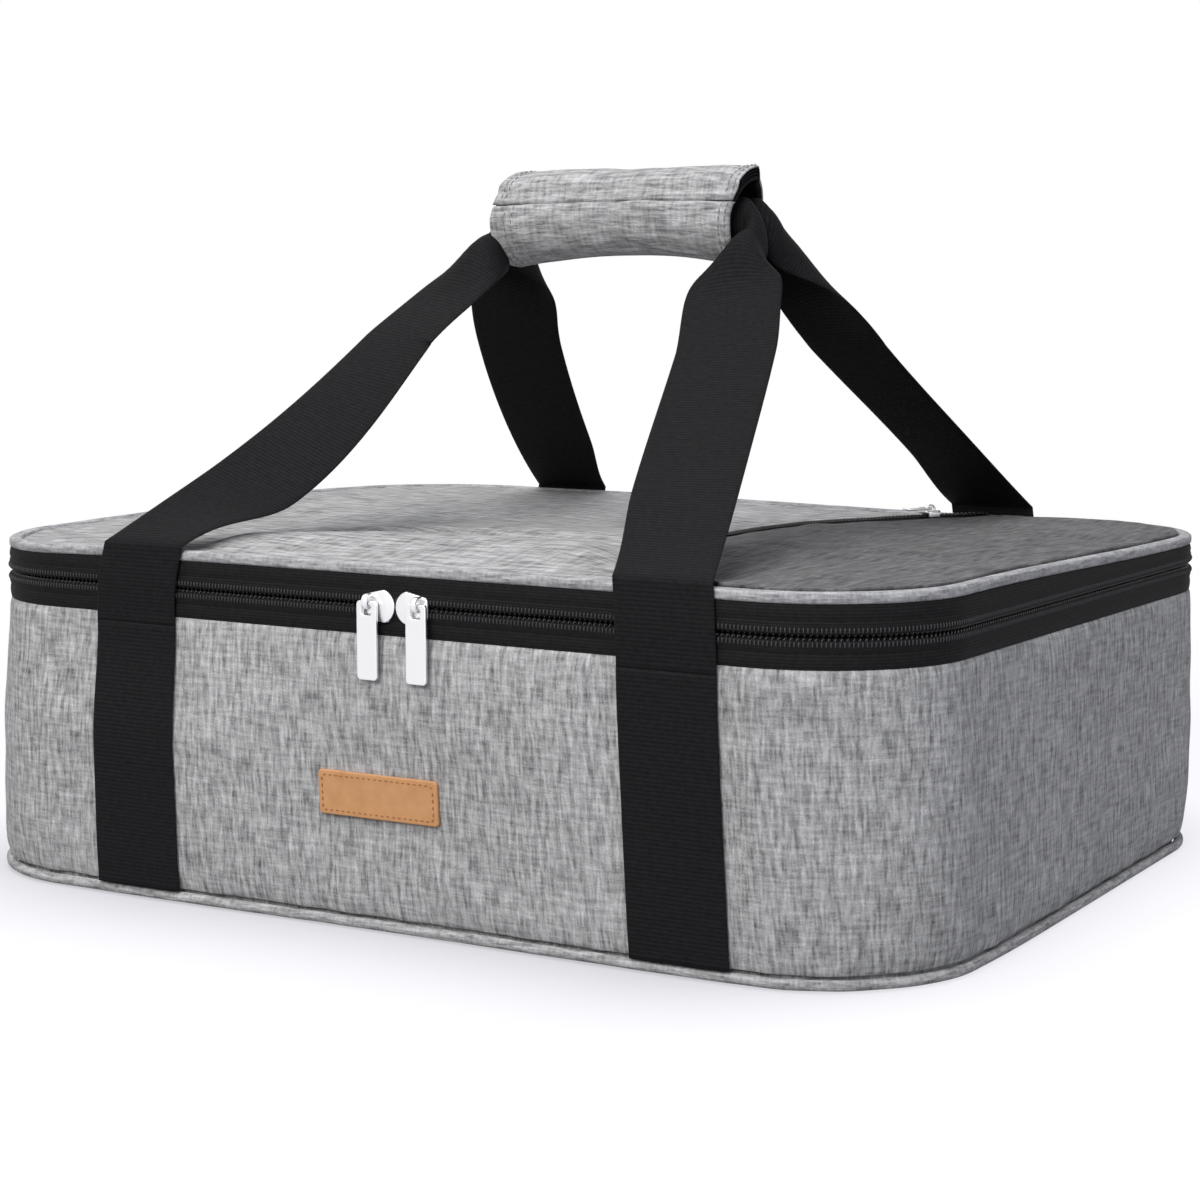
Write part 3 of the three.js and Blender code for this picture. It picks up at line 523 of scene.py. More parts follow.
# The waves end at the top seam, and outwards they are 0.2 mm at most, to stay off the foam
skin_z = inner_skin[..., 2]
sag = 0.5 * ripple(lining_s[None, :], skin_z, 60, 50, 21) * smooth((LINING_TOP - skin_z) / 20)
inner_skin = inner_skin - outward_at(outline(lining_s)[2]) * np.maximum(sag, -0.2)[..., None]
lining_grid = np.concatenate([outer_skin, inner_skin[::-1]])
spread = np.concatenate([lining_grid, lining_grid[:, :1]], 1)
lining_uv = (spread[..., :2] + 0.7 * spread[..., 2:]) * MM
lining = surface("tub_lining_film", lining_grid, lining_uv, lining_film, "tub")
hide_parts("tub_lining")

# Zip band: black cloth tape folded back on each side of the chain, sewn between wall and lid. Each half
# ends in a row of nylon coil under its folded lip, and inside a black binding covers the raw edges.
CHAIN = 117.0
CHANNEL = 2.0
ZIP_START = CORNER_X
ZIP_END = GIRTH - CORNER_X


def ribbed_cloth(name, dark, light, pitch, along, thread, depth=0.22):
    """Tightly woven black tape: fine ribs at a pitch in millimetres, along "X" or "Y" of the UV map, crossed
    by threads at another pitch, with a painted highlight that greys the rib tops, mixed with random fuzz of
    tone. The depth is the bump's strength."""
    finish, tree = new_finish(name)
    uv = add_node(tree, "TexCoord").outputs["UV"]
    # A wave texture has one band in pi / 10 of its scaled coordinate
    bands = math.pi / 10 / MM
    ribs = add_node(
        tree, "TexWave", {"Vector": uv, "Scale": bands / pitch, "Distortion": 0.25, "Detail": 1.0},
        bands_direction=along,
    )
    threads = add_node(
        tree, "TexWave", {"Vector": uv, "Scale": bands / thread, "Distortion": 0.6, "Detail": 1.0},
        bands_direction="Y" if along == "X" else "X",
    )
    fuzz = add_node(tree, "TexNoise", {"Vector": uv, "Scale": 420.0, "Detail": 4.0, "Roughness": 0.7})
    # Painted highlight: the colour is lighter on the rib tops, and random fuzz changes the tone
    painted_rib_highlight_and_fuzz = add_node(tree, "Math", {0: ribs.outputs[1], 1: 0.35, 2: fuzz}, operation="MULTIPLY_ADD")
    factor = add_node(tree, "MapRange", {"Value": painted_rib_highlight_and_fuzz, "From Min": 0.3, "From Max": 1.05})
    colour = add_node(tree, "Mix", {0: factor, 6: linear(dark), 7: linear(light)}, data_type="RGBA")
    relief = add_node(
        tree, "Math", {0: threads.outputs[1], 1: 0.35, 2: ribs.outputs[1]}, operation="MULTIPLY_ADD"
    )
    bump = add_node(tree, "Bump", {"Height": relief, "Strength": depth, "Distance": 0.0004})
    shader = add_node(
        tree, "BsdfPrincipled",
        {"Base Color": colour.outputs[2], "Roughness": 0.7, "Normal": bump, "Specular IOR Level": 0.05},
    )
    add_node(tree, "OutputMaterial", {"Surface": shader})
    return finish


black_tape = ribbed_cloth("black zip tape", "#151516", "#29292a", 1.1, "Y", 1.4)


def lengths_along(path):
    """Length of a path up to each of its points: 0, then the running sum of its steps."""
    return np.concatenate([[0], np.cumsum(np.linalg.norm(np.diff(path, axis=0), axis=1))])


def points_at(t, run, path):
    """The points of a path at lengths t, straight between those at the lengths in run."""
    return np.stack([np.interp(t, run, path[:, k]) for k in range(3)], -1)


def unit(vectors):
    """Vectors divided by their lengths."""
    return vectors / np.linalg.norm(vectors, axis=-1, keepdims=True)


def open_ring(name, path, body, thickness=0.8, steps=620):
    """A strip of tape round the front and sides from one rear corner to the other. path is a list of (inset,
    height) on its outer face; the inner face lies one thickness further in, and both ends are capped."""
    s = np.linspace(ZIP_START, ZIP_END, steps)
    loop = path + [(inset + thickness, height) for inset, height in path[::-1]]
    grid = np.stack([around(s, inset, height) for inset, height in loop], 1)
    u, v = np.meshgrid(lengths_along(np.array(loop + loop[:1])) * MM, s * MM)
    return surface(name, grid, np.stack([v, u], -1), black_tape, body)


def band_profile(edge, fold):
    """Section of one half of the band: turned under at its sewn edge, a soft rib, a raised fold beside the
    coil, and a step down into the channel."""
    step = math.copysign(1.0, CHAIN - edge)
    span = fold - edge - step * 1.5
    turned_in = [(1.5, edge - 0.5 * step), (0.6, edge + 0.05 * step), (0.25, edge + 0.3 * step)]
    rib = [(0.15 - 0.3 * math.sin(math.pi * k), edge + step * 0.7 + span * k) for k in np.linspace(0, 1, 8)]
    fold_over = [(-0.1, fold - 0.5 * step), (-0.25, fold), (0.1, fold + 0.35 * step)]
    channel = [(CHANNEL - 0.4, fold + 0.6 * step), (CHANNEL, fold + step), (CHANNEL, CHAIN - 0.15 * step)]
    return turned_in + rib + fold_over + channel


# The coil is drawn nylon thread, hard and a little glossy
nylon, tree = new_finish("black nylon coil")
shader = add_node(
    tree, "BsdfPrincipled", {"Base Color": linear("#141415"), "Roughness": 0.42, "IOR": 1.53}
)
add_node(tree, "OutputMaterial", {"Surface": shader})
COIL_PITCH = 2.0
COIL_WIRE = 0.36
COIL_OFF = 1.7
COIL_INSET = 1.25


def coil(name, path, out, side, reach, body, phase=0.0, rise=0.45, steps=10, sides=5):
    """A helix of nylon wire along a path: centre plus reach times cosine along side plus rise times sine
    along out, one turn to each pitch, thickened to a round wire."""
    run = lengths_along(path)
    t = np.linspace(0, run[-1], int(run[-1] / COIL_PITCH * steps))
    centre, up, across = (points_at(t, run, values) for values in (path, out, side))
    turn = 2 * math.pi * t / COIL_PITCH + phase
    spoke = across * (reach * np.cos(turn))[:, None] + up * (rise * np.sin(turn))[:, None]
    heading = unit(np.gradient(centre + spoke, axis=0))
    first = unit(np.cross(heading, spoke))
    second = np.cross(heading, first)
    ring = np.linspace(0, 2 * math.pi, sides, endpoint=False)
    grid = (centre + spoke)[:, None] + COIL_WIRE * (
        np.cos(ring)[None, :, None] * first[:, None] + np.sin(ring)[None, :, None] * second[:, None]
    )
    u, v = np.meshgrid(np.linspace(0, COIL_PITCH * MM, sides + 1), t * MM)
    return surface(name, grid, np.stack([u, v], -1), nylon, body)


def stitches(name, ends, out, radius, finish, body):
    """Short thread stitches: each is a bowed capsule between two ends, five rings of six points, its
    middle lifted along out."""
    start, stop = ends
    k = np.linspace(0, 1, 5)[None, :, None]
    bow = radius * 1.1 * np.sin(math.pi * k) - radius * 0.3
    line = start[:, None] * (1 - k) + stop[:, None] * k + out[:, None] * bow
    side = np.cross(unit(stop - start), out)
    ring = np.radians(np.arange(6) * 60.0)
    girth = radius * np.sqrt(np.maximum(1 - (2 * k - 1) ** 4, 0.12))[..., None]
    points = line[:, :, None] + girth * (
        np.cos(ring)[None, None, :, None] * side[:, None, None]
        + np.sin(ring)[None, None, :, None] * out[:, None, None]
    )
    if body in ("tub", "lid"):
        points = settled(points)
    base = (np.arange(len(start)) * 30)[:, None, None]
    r, c = np.meshgrid(np.arange(4), np.arange(6), indexing="ij")
    corners = [(r, c), (r, (c + 1) % 6), (r + 1, (c + 1) % 6), (r + 1, c)]
    quad = np.stack([i * 6 + j for i, j in corners], -1).reshape(-1, 4)
    caps = np.stack([np.arange(6)[::-1], np.arange(24, 30)])
    faces = (base + quad).reshape(-1, 4).tolist() + (base + caps).reshape(-1, 6).tolist()
    mesh = bpy.data.meshes.new(name)
    mesh.from_pydata((points.reshape(-1, 3) * MM).tolist(), [], faces)
    mesh.shade_smooth()
    mesh.materials.append(finish)
    piece = placed(name, mesh)
    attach(piece, body)
    return piece


def thread_finish(name, colour, roughness, gleam=0.5):
    """Spun thread of under half a millimetre, in one even colour, since its twist is too fine to show."""
    finish, tree = new_finish(name)
    shader = add_node(
        tree, "BsdfPrincipled",
        {"Base Color": linear(colour), "Roughness": roughness, "Specular IOR Level": gleam},
    )
    add_node(tree, "OutputMaterial", {"Surface": shader})
    return finish


tape_thread = thread_finish("black zip thread", "#4a4a4c", 0.8, gleam=0.1)
# Section of a tape's folded edge, which lies over its row of coil: (inset, distance from the chain's middle)
LIP = [(0.1, 4.3), (-0.2, 4.0), (-0.3, 3.4), (-0.3, 1.7), (-0.2, 1.2), (0.0, 1.0)]

# The half on the wall lies below the chain, and the half on the lid is its mirror image above it
for place, body, way in (("low", "tub", -1), ("high", "lid", 1)):
    tape = open_ring(f"zip_tape_{place}", band_profile(CHAIN + way * 10.6, CHAIN + way * 4.1), body)
    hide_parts(f"zip_tape_{body}")
    lip = open_ring(f"zip_lip_{place}", [(i, CHAIN + way * gap) for i, gap in LIP], body, thickness=0.4)

    # A row of coil round the band, standing out from the channel of the tapes
    s = np.linspace(ZIP_START, ZIP_END, 1400)
    upright = np.tile([0.0, 0.0, 1.0], (len(s), 1))
    row = coil(
        f"zip_coil_{place}", around(s, COIL_INSET, CHAIN + way * COIL_OFF), outward_at(outline(s)[2]),
        upright, 1.45, body, phase=math.pi * (way > 0),
    )
    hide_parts(f"zip_coil_{body}")

    # Upright stitches along the lip hold the coil to its tape
    stitch, pitch = 2.0, 1.45
    s = np.arange(ZIP_START + 2, ZIP_END - 2, pitch)
    start = around(s, -0.3, CHAIN + way * 2.3 - stitch / 2)
    ends = (start, start + [0, 0, stitch])
    seam = stitches(f"zip_stitching_{place}", ends, outward_at(outline(s)[2]), 0.26, tape_thread, body)

binding_low = round_ring(
    "tub_binding", inset=5.8, height=103.6, half_in=2.7, half_up=2.9, finish=black_tape, body="tub",
    power=0.45, waver=0.08, seed=12,
)
binding_high = round_ring(
    "lid_binding", inset=3.85, height=124.6, half_in=0.6, half_up=2.4, finish=black_tape, body="lid",
    power=0.45, waver=0.05, seed=13,
)
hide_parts("tub_seam_binding")
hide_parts("lid_seam_binding")

# Hinge: a strip of the wall's cloth across the rear, between the ends of the zip. It is sewn to wall and
# lid and folds as the lid opens.
HINGE_HALF = 148.4
HINGE_LOW = 106.9
HINGE_TOP = 127.1


def slab_strip(x, y, z, thickness, out):
    """A strip from its mid surface's grids x, y, z: two faces, each half a thickness off along out."""
    middle = np.stack([x, y, z], -1)
    offset = np.asarray(out, float) * thickness / 2
    return np.concatenate([middle + offset, (middle - offset)[:, ::-1]], 1)


def strip_uv(u, v):
    """UV for a closed strip: both faces share the mid surface's coordinates."""
    one = np.stack([u, v], -1) * MM
    both = np.concatenate([one, one[:, ::-1]], 1)
    return np.concatenate([both, both[:, :1]], 1)


hinge_x, hinge_z = np.meshgrid(
    np.linspace(-HINGE_HALF, HINGE_HALF, 150), np.linspace(HINGE_LOW, HINGE_TOP, 18), indexing="ij"
)
hinge_y = 159.4 + 0.35 * np.sin((hinge_z - HINGE_LOW) / (HINGE_TOP - HINGE_LOW) * math.pi)
hinge_y += 0.12 * ripple(hinge_x, hinge_z, 50, 25, 17)
hinge = surface(
    "rear_hinge_cloth", settled(slab_strip(hinge_x, hinge_y, hinge_z, 1.0, (0, 1, 0))),
    strip_uv(hinge_x, hinge_z), grey_cloth, None,
)
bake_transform(hinge)
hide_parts("rear_hinge_strip")

# Lid: a foam board with the grey cloth drawn over it, slightly crowned, with a film lining underneath. Its
# edge is a flat roll of paler cloth, sewn on so that it stands up round the top.
LID_INSET = 4.8
LID_LOW = 122.1
LID_TOP = 130.8
lid_rim = [(LID_INSET, LID_LOW), (LID_INSET, 128.6), (LID_INSET + 0.3, 129.9), (LID_INSET + 1.4, LID_TOP)]
lid_cloth = melange_cloth("loose grey melange polyester", "#414142", "#e1e1e2", coarse=1.5)
lid_grid = panel(lid_rim, rings=60)


def lid_swell(x, y):
    """Rise of the lid's cloth: a crown, low soft waves and puckers that fade from the edge. At the front,
    between the straps, a roll of 4.8 mm lies behind its edge. Behind that a valley, 2.3 mm deep, starts at
    the left strap's foot and bends round to run on to the right, and the cloth swells again beyond it."""
    side = np.minimum(BAG_WIDTH / 2 - LID_INSET - np.abs(x), BAG_DEPTH / 2 - LID_INSET - np.abs(y))
    side = np.maximum(side, 0)
    crown = 1.5 * smooth(side / 120)
    waves = 0.3 * ripple(x, y, 90, 70, 31) * smooth(side / 12)
    puckers = 0.3 * np.exp(-side / 9) * ripple(x, y, 24, 24, 33) * smooth(side / 2.5)
    behind = y + BAG_DEPTH / 2 - LID_INSET
    between = smooth((x + 95) / 18) * smooth((106 - x) / 22)
    valley_run = 92 + 0.1 * (x + 88) - 78 * np.exp(-np.maximum(x + 92, 0) / 18)
    roll = 4.8 * np.exp(-(((behind - 0.5 * valley_run) / (0.33 * valley_run)) ** 2))
    roll = roll * between * (1 - near_arc(x, y)) * smooth(behind / 12)
    trough = behind - valley_run
    reach = smooth((x + 96) / 8) * (1 - 0.8 * smooth((x + 60) / 130))
    valley = -2.3 * np.exp(-((trough / 9) ** 2)) * reach
    far_swell = 1.0 * np.exp(-(((trough - 22) / 14) ** 2)) * reach
    return crown + waves + puckers + roll + valley + far_swell


top = lid_grid[..., 2] > LID_TOP - 0.01
lid_grid[..., 2] += np.where(top, lid_swell(lid_grid[..., 0], lid_grid[..., 1]), 0)
lid = surface("lid_pad", lid_grid, plan_uv(lid_grid)[..., ::-1], lid_cloth, "lid")
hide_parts("lid_fabric", "lid_foam")

film_grid = panel([(LID_INSET, 121.0), (LID_INSET, 121.8)])
lid_film = surface("lid_lining_film", film_grid, plan_uv(film_grid), lining_film, "lid")
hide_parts("lid_lining")

edge_cloth = melange_cloth("pale edge cloth", "#666669", "#d8d8db")
lid_edge = round_ring(
    "lid_edge_roll", inset=2.3, height=129.5, half_in=2.5, half_up=2.0, finish=edge_cloth, body="lid",
    power=0.6, sides=18, waver=0.12, seed=9,
)
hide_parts("lid_piping")

# Pocket: a dark melange panel over the right end of the lid, sewn in round the lid's edge, with a curved
# zip along its open side. The zip's tape and coil lie on the lid and follow its cloth.
PANEL_RADIUS = 222.7
POCKET_LOW = 131.1
POCKET_TAPE = 131.5
POCKET_TAPE_WIDTH = 14.0
POCKET_TAPE_THICKNESS = 0.6
POCKET_CHAIN = 132.7
dark_cloth = melange_cloth("dark melange polyester", "#1e1e20", "#838384", coarse=1.6)


def arc_span(radius):
    """Angles at which a circle about the pocket's centre meets the lid's rear and front edges, less 1 mm."""
    edge = BAG_DEPTH / 2 - LID_INSET - 1.0
    rear = math.pi - math.asin((edge - POCKET_Y) / radius)
    front = math.pi + math.asin((edge + POCKET_Y) / radius)
    return rear, front


def pocket_cloth(steps=150, across=70):
    """x, y and z of the panel. Rows run straight from the arc to the lid's edge: each point of
    the arc is joined to the point that lies as far along the lid's outline, and the cloth swells
    a little between them."""
    rear, front = arc_span(PANEL_RADIUS)
    turn = np.linspace(rear, front, steps)
    arc = np.stack([POCKET_X + PANEL_RADIUS * np.cos(turn), POCKET_Y + PANEL_RADIUS * np.sin(turn)], -1)
    start, end = arc[0, 0], GIRTH / 2 - arc[-1, 0]
    rim = around(np.linspace(start, end, steps), LID_INSET + 0.6, 0.0)[:, :2]
    k = np.linspace(0, 1, across)
    flat = arc[:, None] * (1 - k[:, None]) + rim[:, None] * k[:, None]
    x, y = flat[..., 0], flat[..., 1]
    lip = smooth(k * 60)
    z = POCKET_LOW + lid_swell(x, y) + 0.5 * lip + 0.35 * np.maximum(ripple(x, y, 60, 45, 41), -0.6) * lip
    return x, y, z


panel_x, panel_y, panel_z = pocket_cloth()
pocket_grid = slab_strip(panel_x, panel_y, panel_z, CLOTH, (0, 0, 1))
pocket = surface("pocket_cloth", pocket_grid, strip_uv(panel_x, panel_y), dark_cloth, "lid")
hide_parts("pocket_panel")


def arc_points(radius, height, steps):
    """Points on an arc about the pocket's centre, lifted with the lid's cloth, and their angles."""
    turn = np.linspace(*arc_span(POCKET_RADIUS), steps)
    x, y = POCKET_X + radius * np.cos(turn), POCKET_Y + radius * np.sin(turn)
    return np.stack([x, y, height + 0.5 * lid_swell(x, y)], -1), turn


offsets = np.linspace(-POCKET_TAPE_WIDTH / 2, POCKET_TAPE_WIDTH / 2, 9)
rows = np.stack([arc_points(POCKET_RADIUS + k, POCKET_TAPE, 240)[0] for k in offsets], 1)
tape_grid = slab_strip(rows[..., 0], rows[..., 1], rows[..., 2], POCKET_TAPE_THICKNESS, (0, 0, 1))
u, v = np.meshgrid(offsets, np.linspace(0, 340, 240))
pocket_tape = surface("pocket_tape", tape_grid, strip_uv(v, u), black_tape, "lid")
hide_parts("pocket_zip_tape")
arc_path, arc_turn = arc_points(POCKET_RADIUS, POCKET_CHAIN, 600)
arc_out = np.tile([0.0, 0.0, 1.0], (len(arc_turn), 1))
pocket_coil = coil("pocket_coil", arc_path, arc_out, outward_at(arc_turn), 1.7, "lid")
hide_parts("pocket_zip_coil")

# Webbing: black 38 mm polypropylene, ribbed across, 1.5 mm thick. Four lengths are sewn flat up the walls,
# from the bottom seam to the zip band.
WEBBING = 1.5
WALL_Y = BAG_DEPTH / 2 + 0.3 + WEBBING / 2
FOLDED_TURN = math.radians(340)
FOLDED_NARROW = 0.52
FOLDED_TALL = 1.2
black_webbing = ribbed_cloth("black ribbed webbing", "#131314", "#262628", 1.5, "Y", 1.9, depth=0.13)


def strap_section(count=25):
    """Points across webbing of unit half width: their share from -1 to 1 and the half thickness there, which
    falls to nothing over the last rounded edge."""
    share = np.sin(np.linspace(-math.pi / 2, math.pi / 2, count))
    half = WEBBING / 2 * (1 - np.abs(share) ** 16) ** 0.5
    return share, half


def ribbon(name, centre, across, normal, fold, body, uv_start=0.0):
    """Webbing along a centre line. Each section is an arc of the webbing's full width that turns through the
    fold's share of 340 degrees, drawn narrower and taller as it closes, to an upright oval."""
    share, half = strap_section()
    fold = np.clip(fold, 1e-4, 1)[:, None]
    bend = fold * FOLDED_TURN
    radius = STRAP_WIDTH / bend
    narrow = 1 + (FOLDED_NARROW - 1) * fold
    tall = 1 + (FOLDED_TALL - 1) * fold
    angle = share[None] / 2 * bend
    middle = np.sin(bend / 2) / (bend / 2)
    lean_side, lean_out = tall * np.sin(angle), narrow * np.cos(angle)
    length = np.hypot(lean_side, lean_out)

    # While it is open, the fold's edges stay in the plane and its middle rises
    rise = (1 - fold) * (middle - np.cos(bend / 2)) * radius * tall

    def face(offset):
        side = radius * narrow * np.sin(angle) + offset * lean_side / length
        out = radius * tall * (np.cos(angle) - middle) + rise + offset * lean_out / length
        return centre[:, None] + normal[:, None] * out[..., None] + across[:, None] * side[..., None]

    grid = np.concatenate([face(half[None]), face(-half[None])[:, -2:0:-1]], 1)
    run = uv_start + lengths_along(centre)
    width = np.concatenate([share, share[-2:0:-1], share[:1]]) * STRAP_WIDTH / 2
    u, v = np.meshgrid(width * MM, run * MM)
    return surface(name, grid, np.stack([u, v], -1), black_webbing, body)


SEWN_LOW = WALL_LOW - 0.6
SEWN_TOP = 103.28


def sewn_strap(name, x, face, uv_start):
    """A length of webbing straight up the wall from the bottom seam to the zip band."""
    z = np.linspace(SEWN_LOW, SEWN_TOP, 60)
    lift = 0.25 * smooth((z - 5) / 12) - 0.2 - 0.05 * smooth((z - 90) / 13)
    centre = np.stack([np.full_like(z, x), face * (WALL_Y + lift), z], -1)
    across = np.tile([1.0, 0.0, 0.0], (len(z), 1))
    normal = np.tile([0.0, float(face), 0.0], (len(z), 1))
    strap = ribbon(name, centre, across, normal, 0 * z, "tub", uv_start)
    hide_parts(name[len("webbing_"):])


# Handles: the same two webbings run on free from the wall, over the band, and lean in over the lid. They
# sag a little and twist, and beside the wrap each folds in on itself to an upright oval, turns round the
# rim and runs through.
WRAP_X = 12.0
WRAP_LENGTH = 107.0
WRAP_Z = 255.0
WRAP_BORE = 13.5
CREASE = 133.0
FREE_LOW = 103.3
KNEE = 130.0
FOLDED_OFFSET = 4.6
FOLDED_SINK = 1.6
RIM_REACH = 6.0
RIM_INSET = 1.0
LEAN_RISE = WRAP_Z - FOLDED_SINK - CREASE
LEAN_RUN = WALL_Y - FOLDED_OFFSET
LEAN = math.atan2(LEAN_RISE, LEAN_RUN)
DOWN_SLOPE = FOLDED_OFFSET * math.cos(LEAN) + FOLDED_SINK * math.sin(LEAN)
RIM = math.sqrt(DOWN_SLOPE ** 2 + WRAP_BORE ** 2 - FOLDED_OFFSET ** 2 - FOLDED_SINK ** 2) - DOWN_SLOPE
NECK = math.hypot(LEAN_RISE, LEAN_RUN) - RIM
# Each leg, in millimetres and degrees: the crease's shift and the knee's inset towards the wrap, the
# sideways bow and the sway under the wrap, the droop in the middle and at the rim, the twist below and the
# turn back above it, and how far up the leaning plane the fold starts
LEGS = {
    (-1, -1): (4.5, 39, 5, 0, 4, 6, 33, 28, 148),
    (-1, 1): (1.5, 37, 1.5, 2, 9, 6, -9, 0, 158),
    (1, -1): (3.5, 43, 0, -6, 11, 6, -9, 0, 152),
    (1, 1): (2, 17, -4, 0, 10, 5, -7, 0, 128),
}


def leg(side, face, foot):
    """Centre line, across, normal and fold of one leg, from its foot into the wrap. In its leaning
    plane it is a bowed run to the knee, a cubic to the neck, and a quarter ellipse round the rim; the
    droop is a parabola below the plane, and the twist a half sine that leans to the foot less one
    that leans to the wrap."""
    shift, inset, bow, sway, droop, drop, twist_below, turn_back, fold_from = LEGS[face, side]
    slope = np.array([0, -face * math.cos(LEAN), math.sin(LEAN)])
    outward = np.array([0, face * math.sin(LEAN), math.cos(LEAN)])
    flat = np.array([0.0, face, 0.0])
    outer = np.array([float(side), 0.0, 0.0])
    crease = foot - side * shift

    # Up the band
    t = np.linspace(0, 1, 20)[:-1]
    low_y = face * (WALL_Y + 0.6 * np.sin(math.pi * t) ** 2)
    low = np.stack([foot + (crease - foot) * t ** 2, low_y, FREE_LOW + (CREASE - FREE_LOW) * t], -1)
    low_normal = unit(flat + (outward - flat) * (0.5 * smooth((t - 0.85) / 0.15))[:, None])

    # The route over the lid
    knee, neck = crease - side * inset, WRAP_X + side * (WRAP_LENGTH / 2 - RIM_INSET + RIM_REACH)
    t = np.linspace(0, 1, 42)[:-1]
    lean_x = crease + (knee - crease) * t - side * bow * np.sin(math.pi * t)
    lean_a = KNEE * t
    t = np.linspace(0, 1, 44)[:-1]
    rise = NECK - KNEE
    neck_x = knee + (neck - knee) * smooth(t) + (knee - crease) / KNEE * rise * t * (1 - t) ** 2
    neck_x -= side * sway * 6.75 * t ** 2 * (1 - t)
    into = np.linspace(0, 1, 14)
    rim_x = neck - side * RIM_REACH * (1 - np.cos(math.pi / 2 * into))
    rim_a = NECK + RIM * np.sin(math.pi / 2 * into)
    x = np.concatenate([lean_x, neck_x, rim_x])
    along = np.concatenate([lean_a, KNEE + rise * t, rim_a])
    into = smooth(np.concatenate([np.zeros(len(x) - len(into)), into]))[:, None]

    share = np.minimum(along / NECK, 1)
    twist = twist_below * np.sin(math.pi * share ** 0.8) - turn_back * np.sin(math.pi * share ** 1.6)
    twist = np.radians(twist) * smooth(share / 0.25)
    sink = 4 * droop * share * (1 - share) + drop * smooth(share) * (1 - into[:, 0])
    sink = sink + STRAP_WIDTH / 2 * np.sin(twist)
    centre = np.array([0, face * WALL_Y, CREASE]) + np.outer(x, [1, 0, 0])
    centre = centre + np.outer(along, slope) - np.outer(sink, outward)
    tangent = unit(np.gradient(centre, axis=0))
    tangent[-1] = [-side, 0, 0]
    raised = unit(outward + (np.array([0, 0, 1]) - outward) * into)
    square = unit(np.cross(tangent, raised)) * -side * face
    level = unit(outer + (square - outer) * smooth(share / 0.45)[:, None])
    cos, sin = np.cos(twist)[:, None], np.sin(twist)[:, None]
    across = level * cos + raised * sin
    normal = raised * cos - level * sin
    normal[0] = unit(normal[0] + flat)
    normal[1:4] = unit(normal[1:4] + flat * np.array([[0.5], [0.25], [0.1]]))
    fold = np.where(into[:, 0] > 0, 1, np.clip((along - fold_from) / (NECK - fold_from), 0, 1) ** 2.2)
    return (
        np.concatenate([low, centre]), np.concatenate([np.tile(outer, (len(low), 1)), across]),
        np.concatenate([low_normal, normal]), np.concatenate([np.zeros(len(low)), fold]),
    )


def handle(name, face, feet):
    """Both legs of a loop and the stretch through the wrap, as one ribbon from the left foot to the right."""
    left = leg(-1, face, feet[0])
    right = [part[::-1] for part in leg(1, face, feet[1])]
    # The right leg's across points to its outer edge as the left leg's does, and both meet square in the wrap
    k = np.linspace(0, 1, 32)[1:-1, None]
    middle = left[0][-1] * (1 - k) + right[0][0] * k
    held = [np.tile(left[i][-1], (len(k), 1)) for i in (1, 2)]
    centre = np.concatenate([left[0], middle, right[0]])
    across = np.concatenate([left[1], held[0], right[1]])
    normal = np.concatenate([left[2], held[1], right[2]])
    fold = np.concatenate([left[3], np.ones(len(k)), right[3]])
    piece = ribbon(name, centre, across, normal, fold, None, uv_start=SEWN_TOP - SEWN_LOW)
    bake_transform(piece)
    # The ribs of the sewn lengths run on from the loop's: at the right they count down from its end
    place = "front" if face < 0 else "rear"
    sewn_strap(f"webbing_strap_{place}_left", feet[0], face, 0.0)
    sewn_strap(f"webbing_strap_{place}_right", feet[1], face, lengths_along(centre)[-1])
    return piece


front_handle = handle("front_handle_webbing", -1, FRONT_STRAPS)
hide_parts("front_webbing")
rear_handle = handle("rear_handle_webbing", 1, REAR_STRAPS)
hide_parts("rear_webbing")

# Wrap: a padded flap of grey cloth, lined with black as painted shade that keeps its bore dark, rolled round
# both handles. Its front half is the pad, and the rest comes over the top and closes on the front with hook
# tape. Double stitching runs inside each end.
WRAP_FLATNESS = 0.94
WRAP_OUTER = WRAP_BORE + 4.3
WRAP_THIN = WRAP_BORE + 1.9
# Degrees round the wrap to millimetres, at its middle and at its skin
DEGREE = math.radians(1) * 17
SKIN_DEGREE = math.radians(1) * 18
# The rows of stitches lie this far inside each end
SEAM_ROWS = (3.6, 6.2)
CLOSURE = 160.0
FLAP_STEP = 62.0
TAPE_START = 96.0
TAPE_END = 133.0
BOTTOM_SEAM = 266.0
LOOP_LOW = WRAP_THIN + 0.3
HOOK_LOW = LOOP_LOW + 1.1
FLAP_LOW = HOOK_LOW + 1.1
FLAP_TOP = FLAP_LOW + 1.6


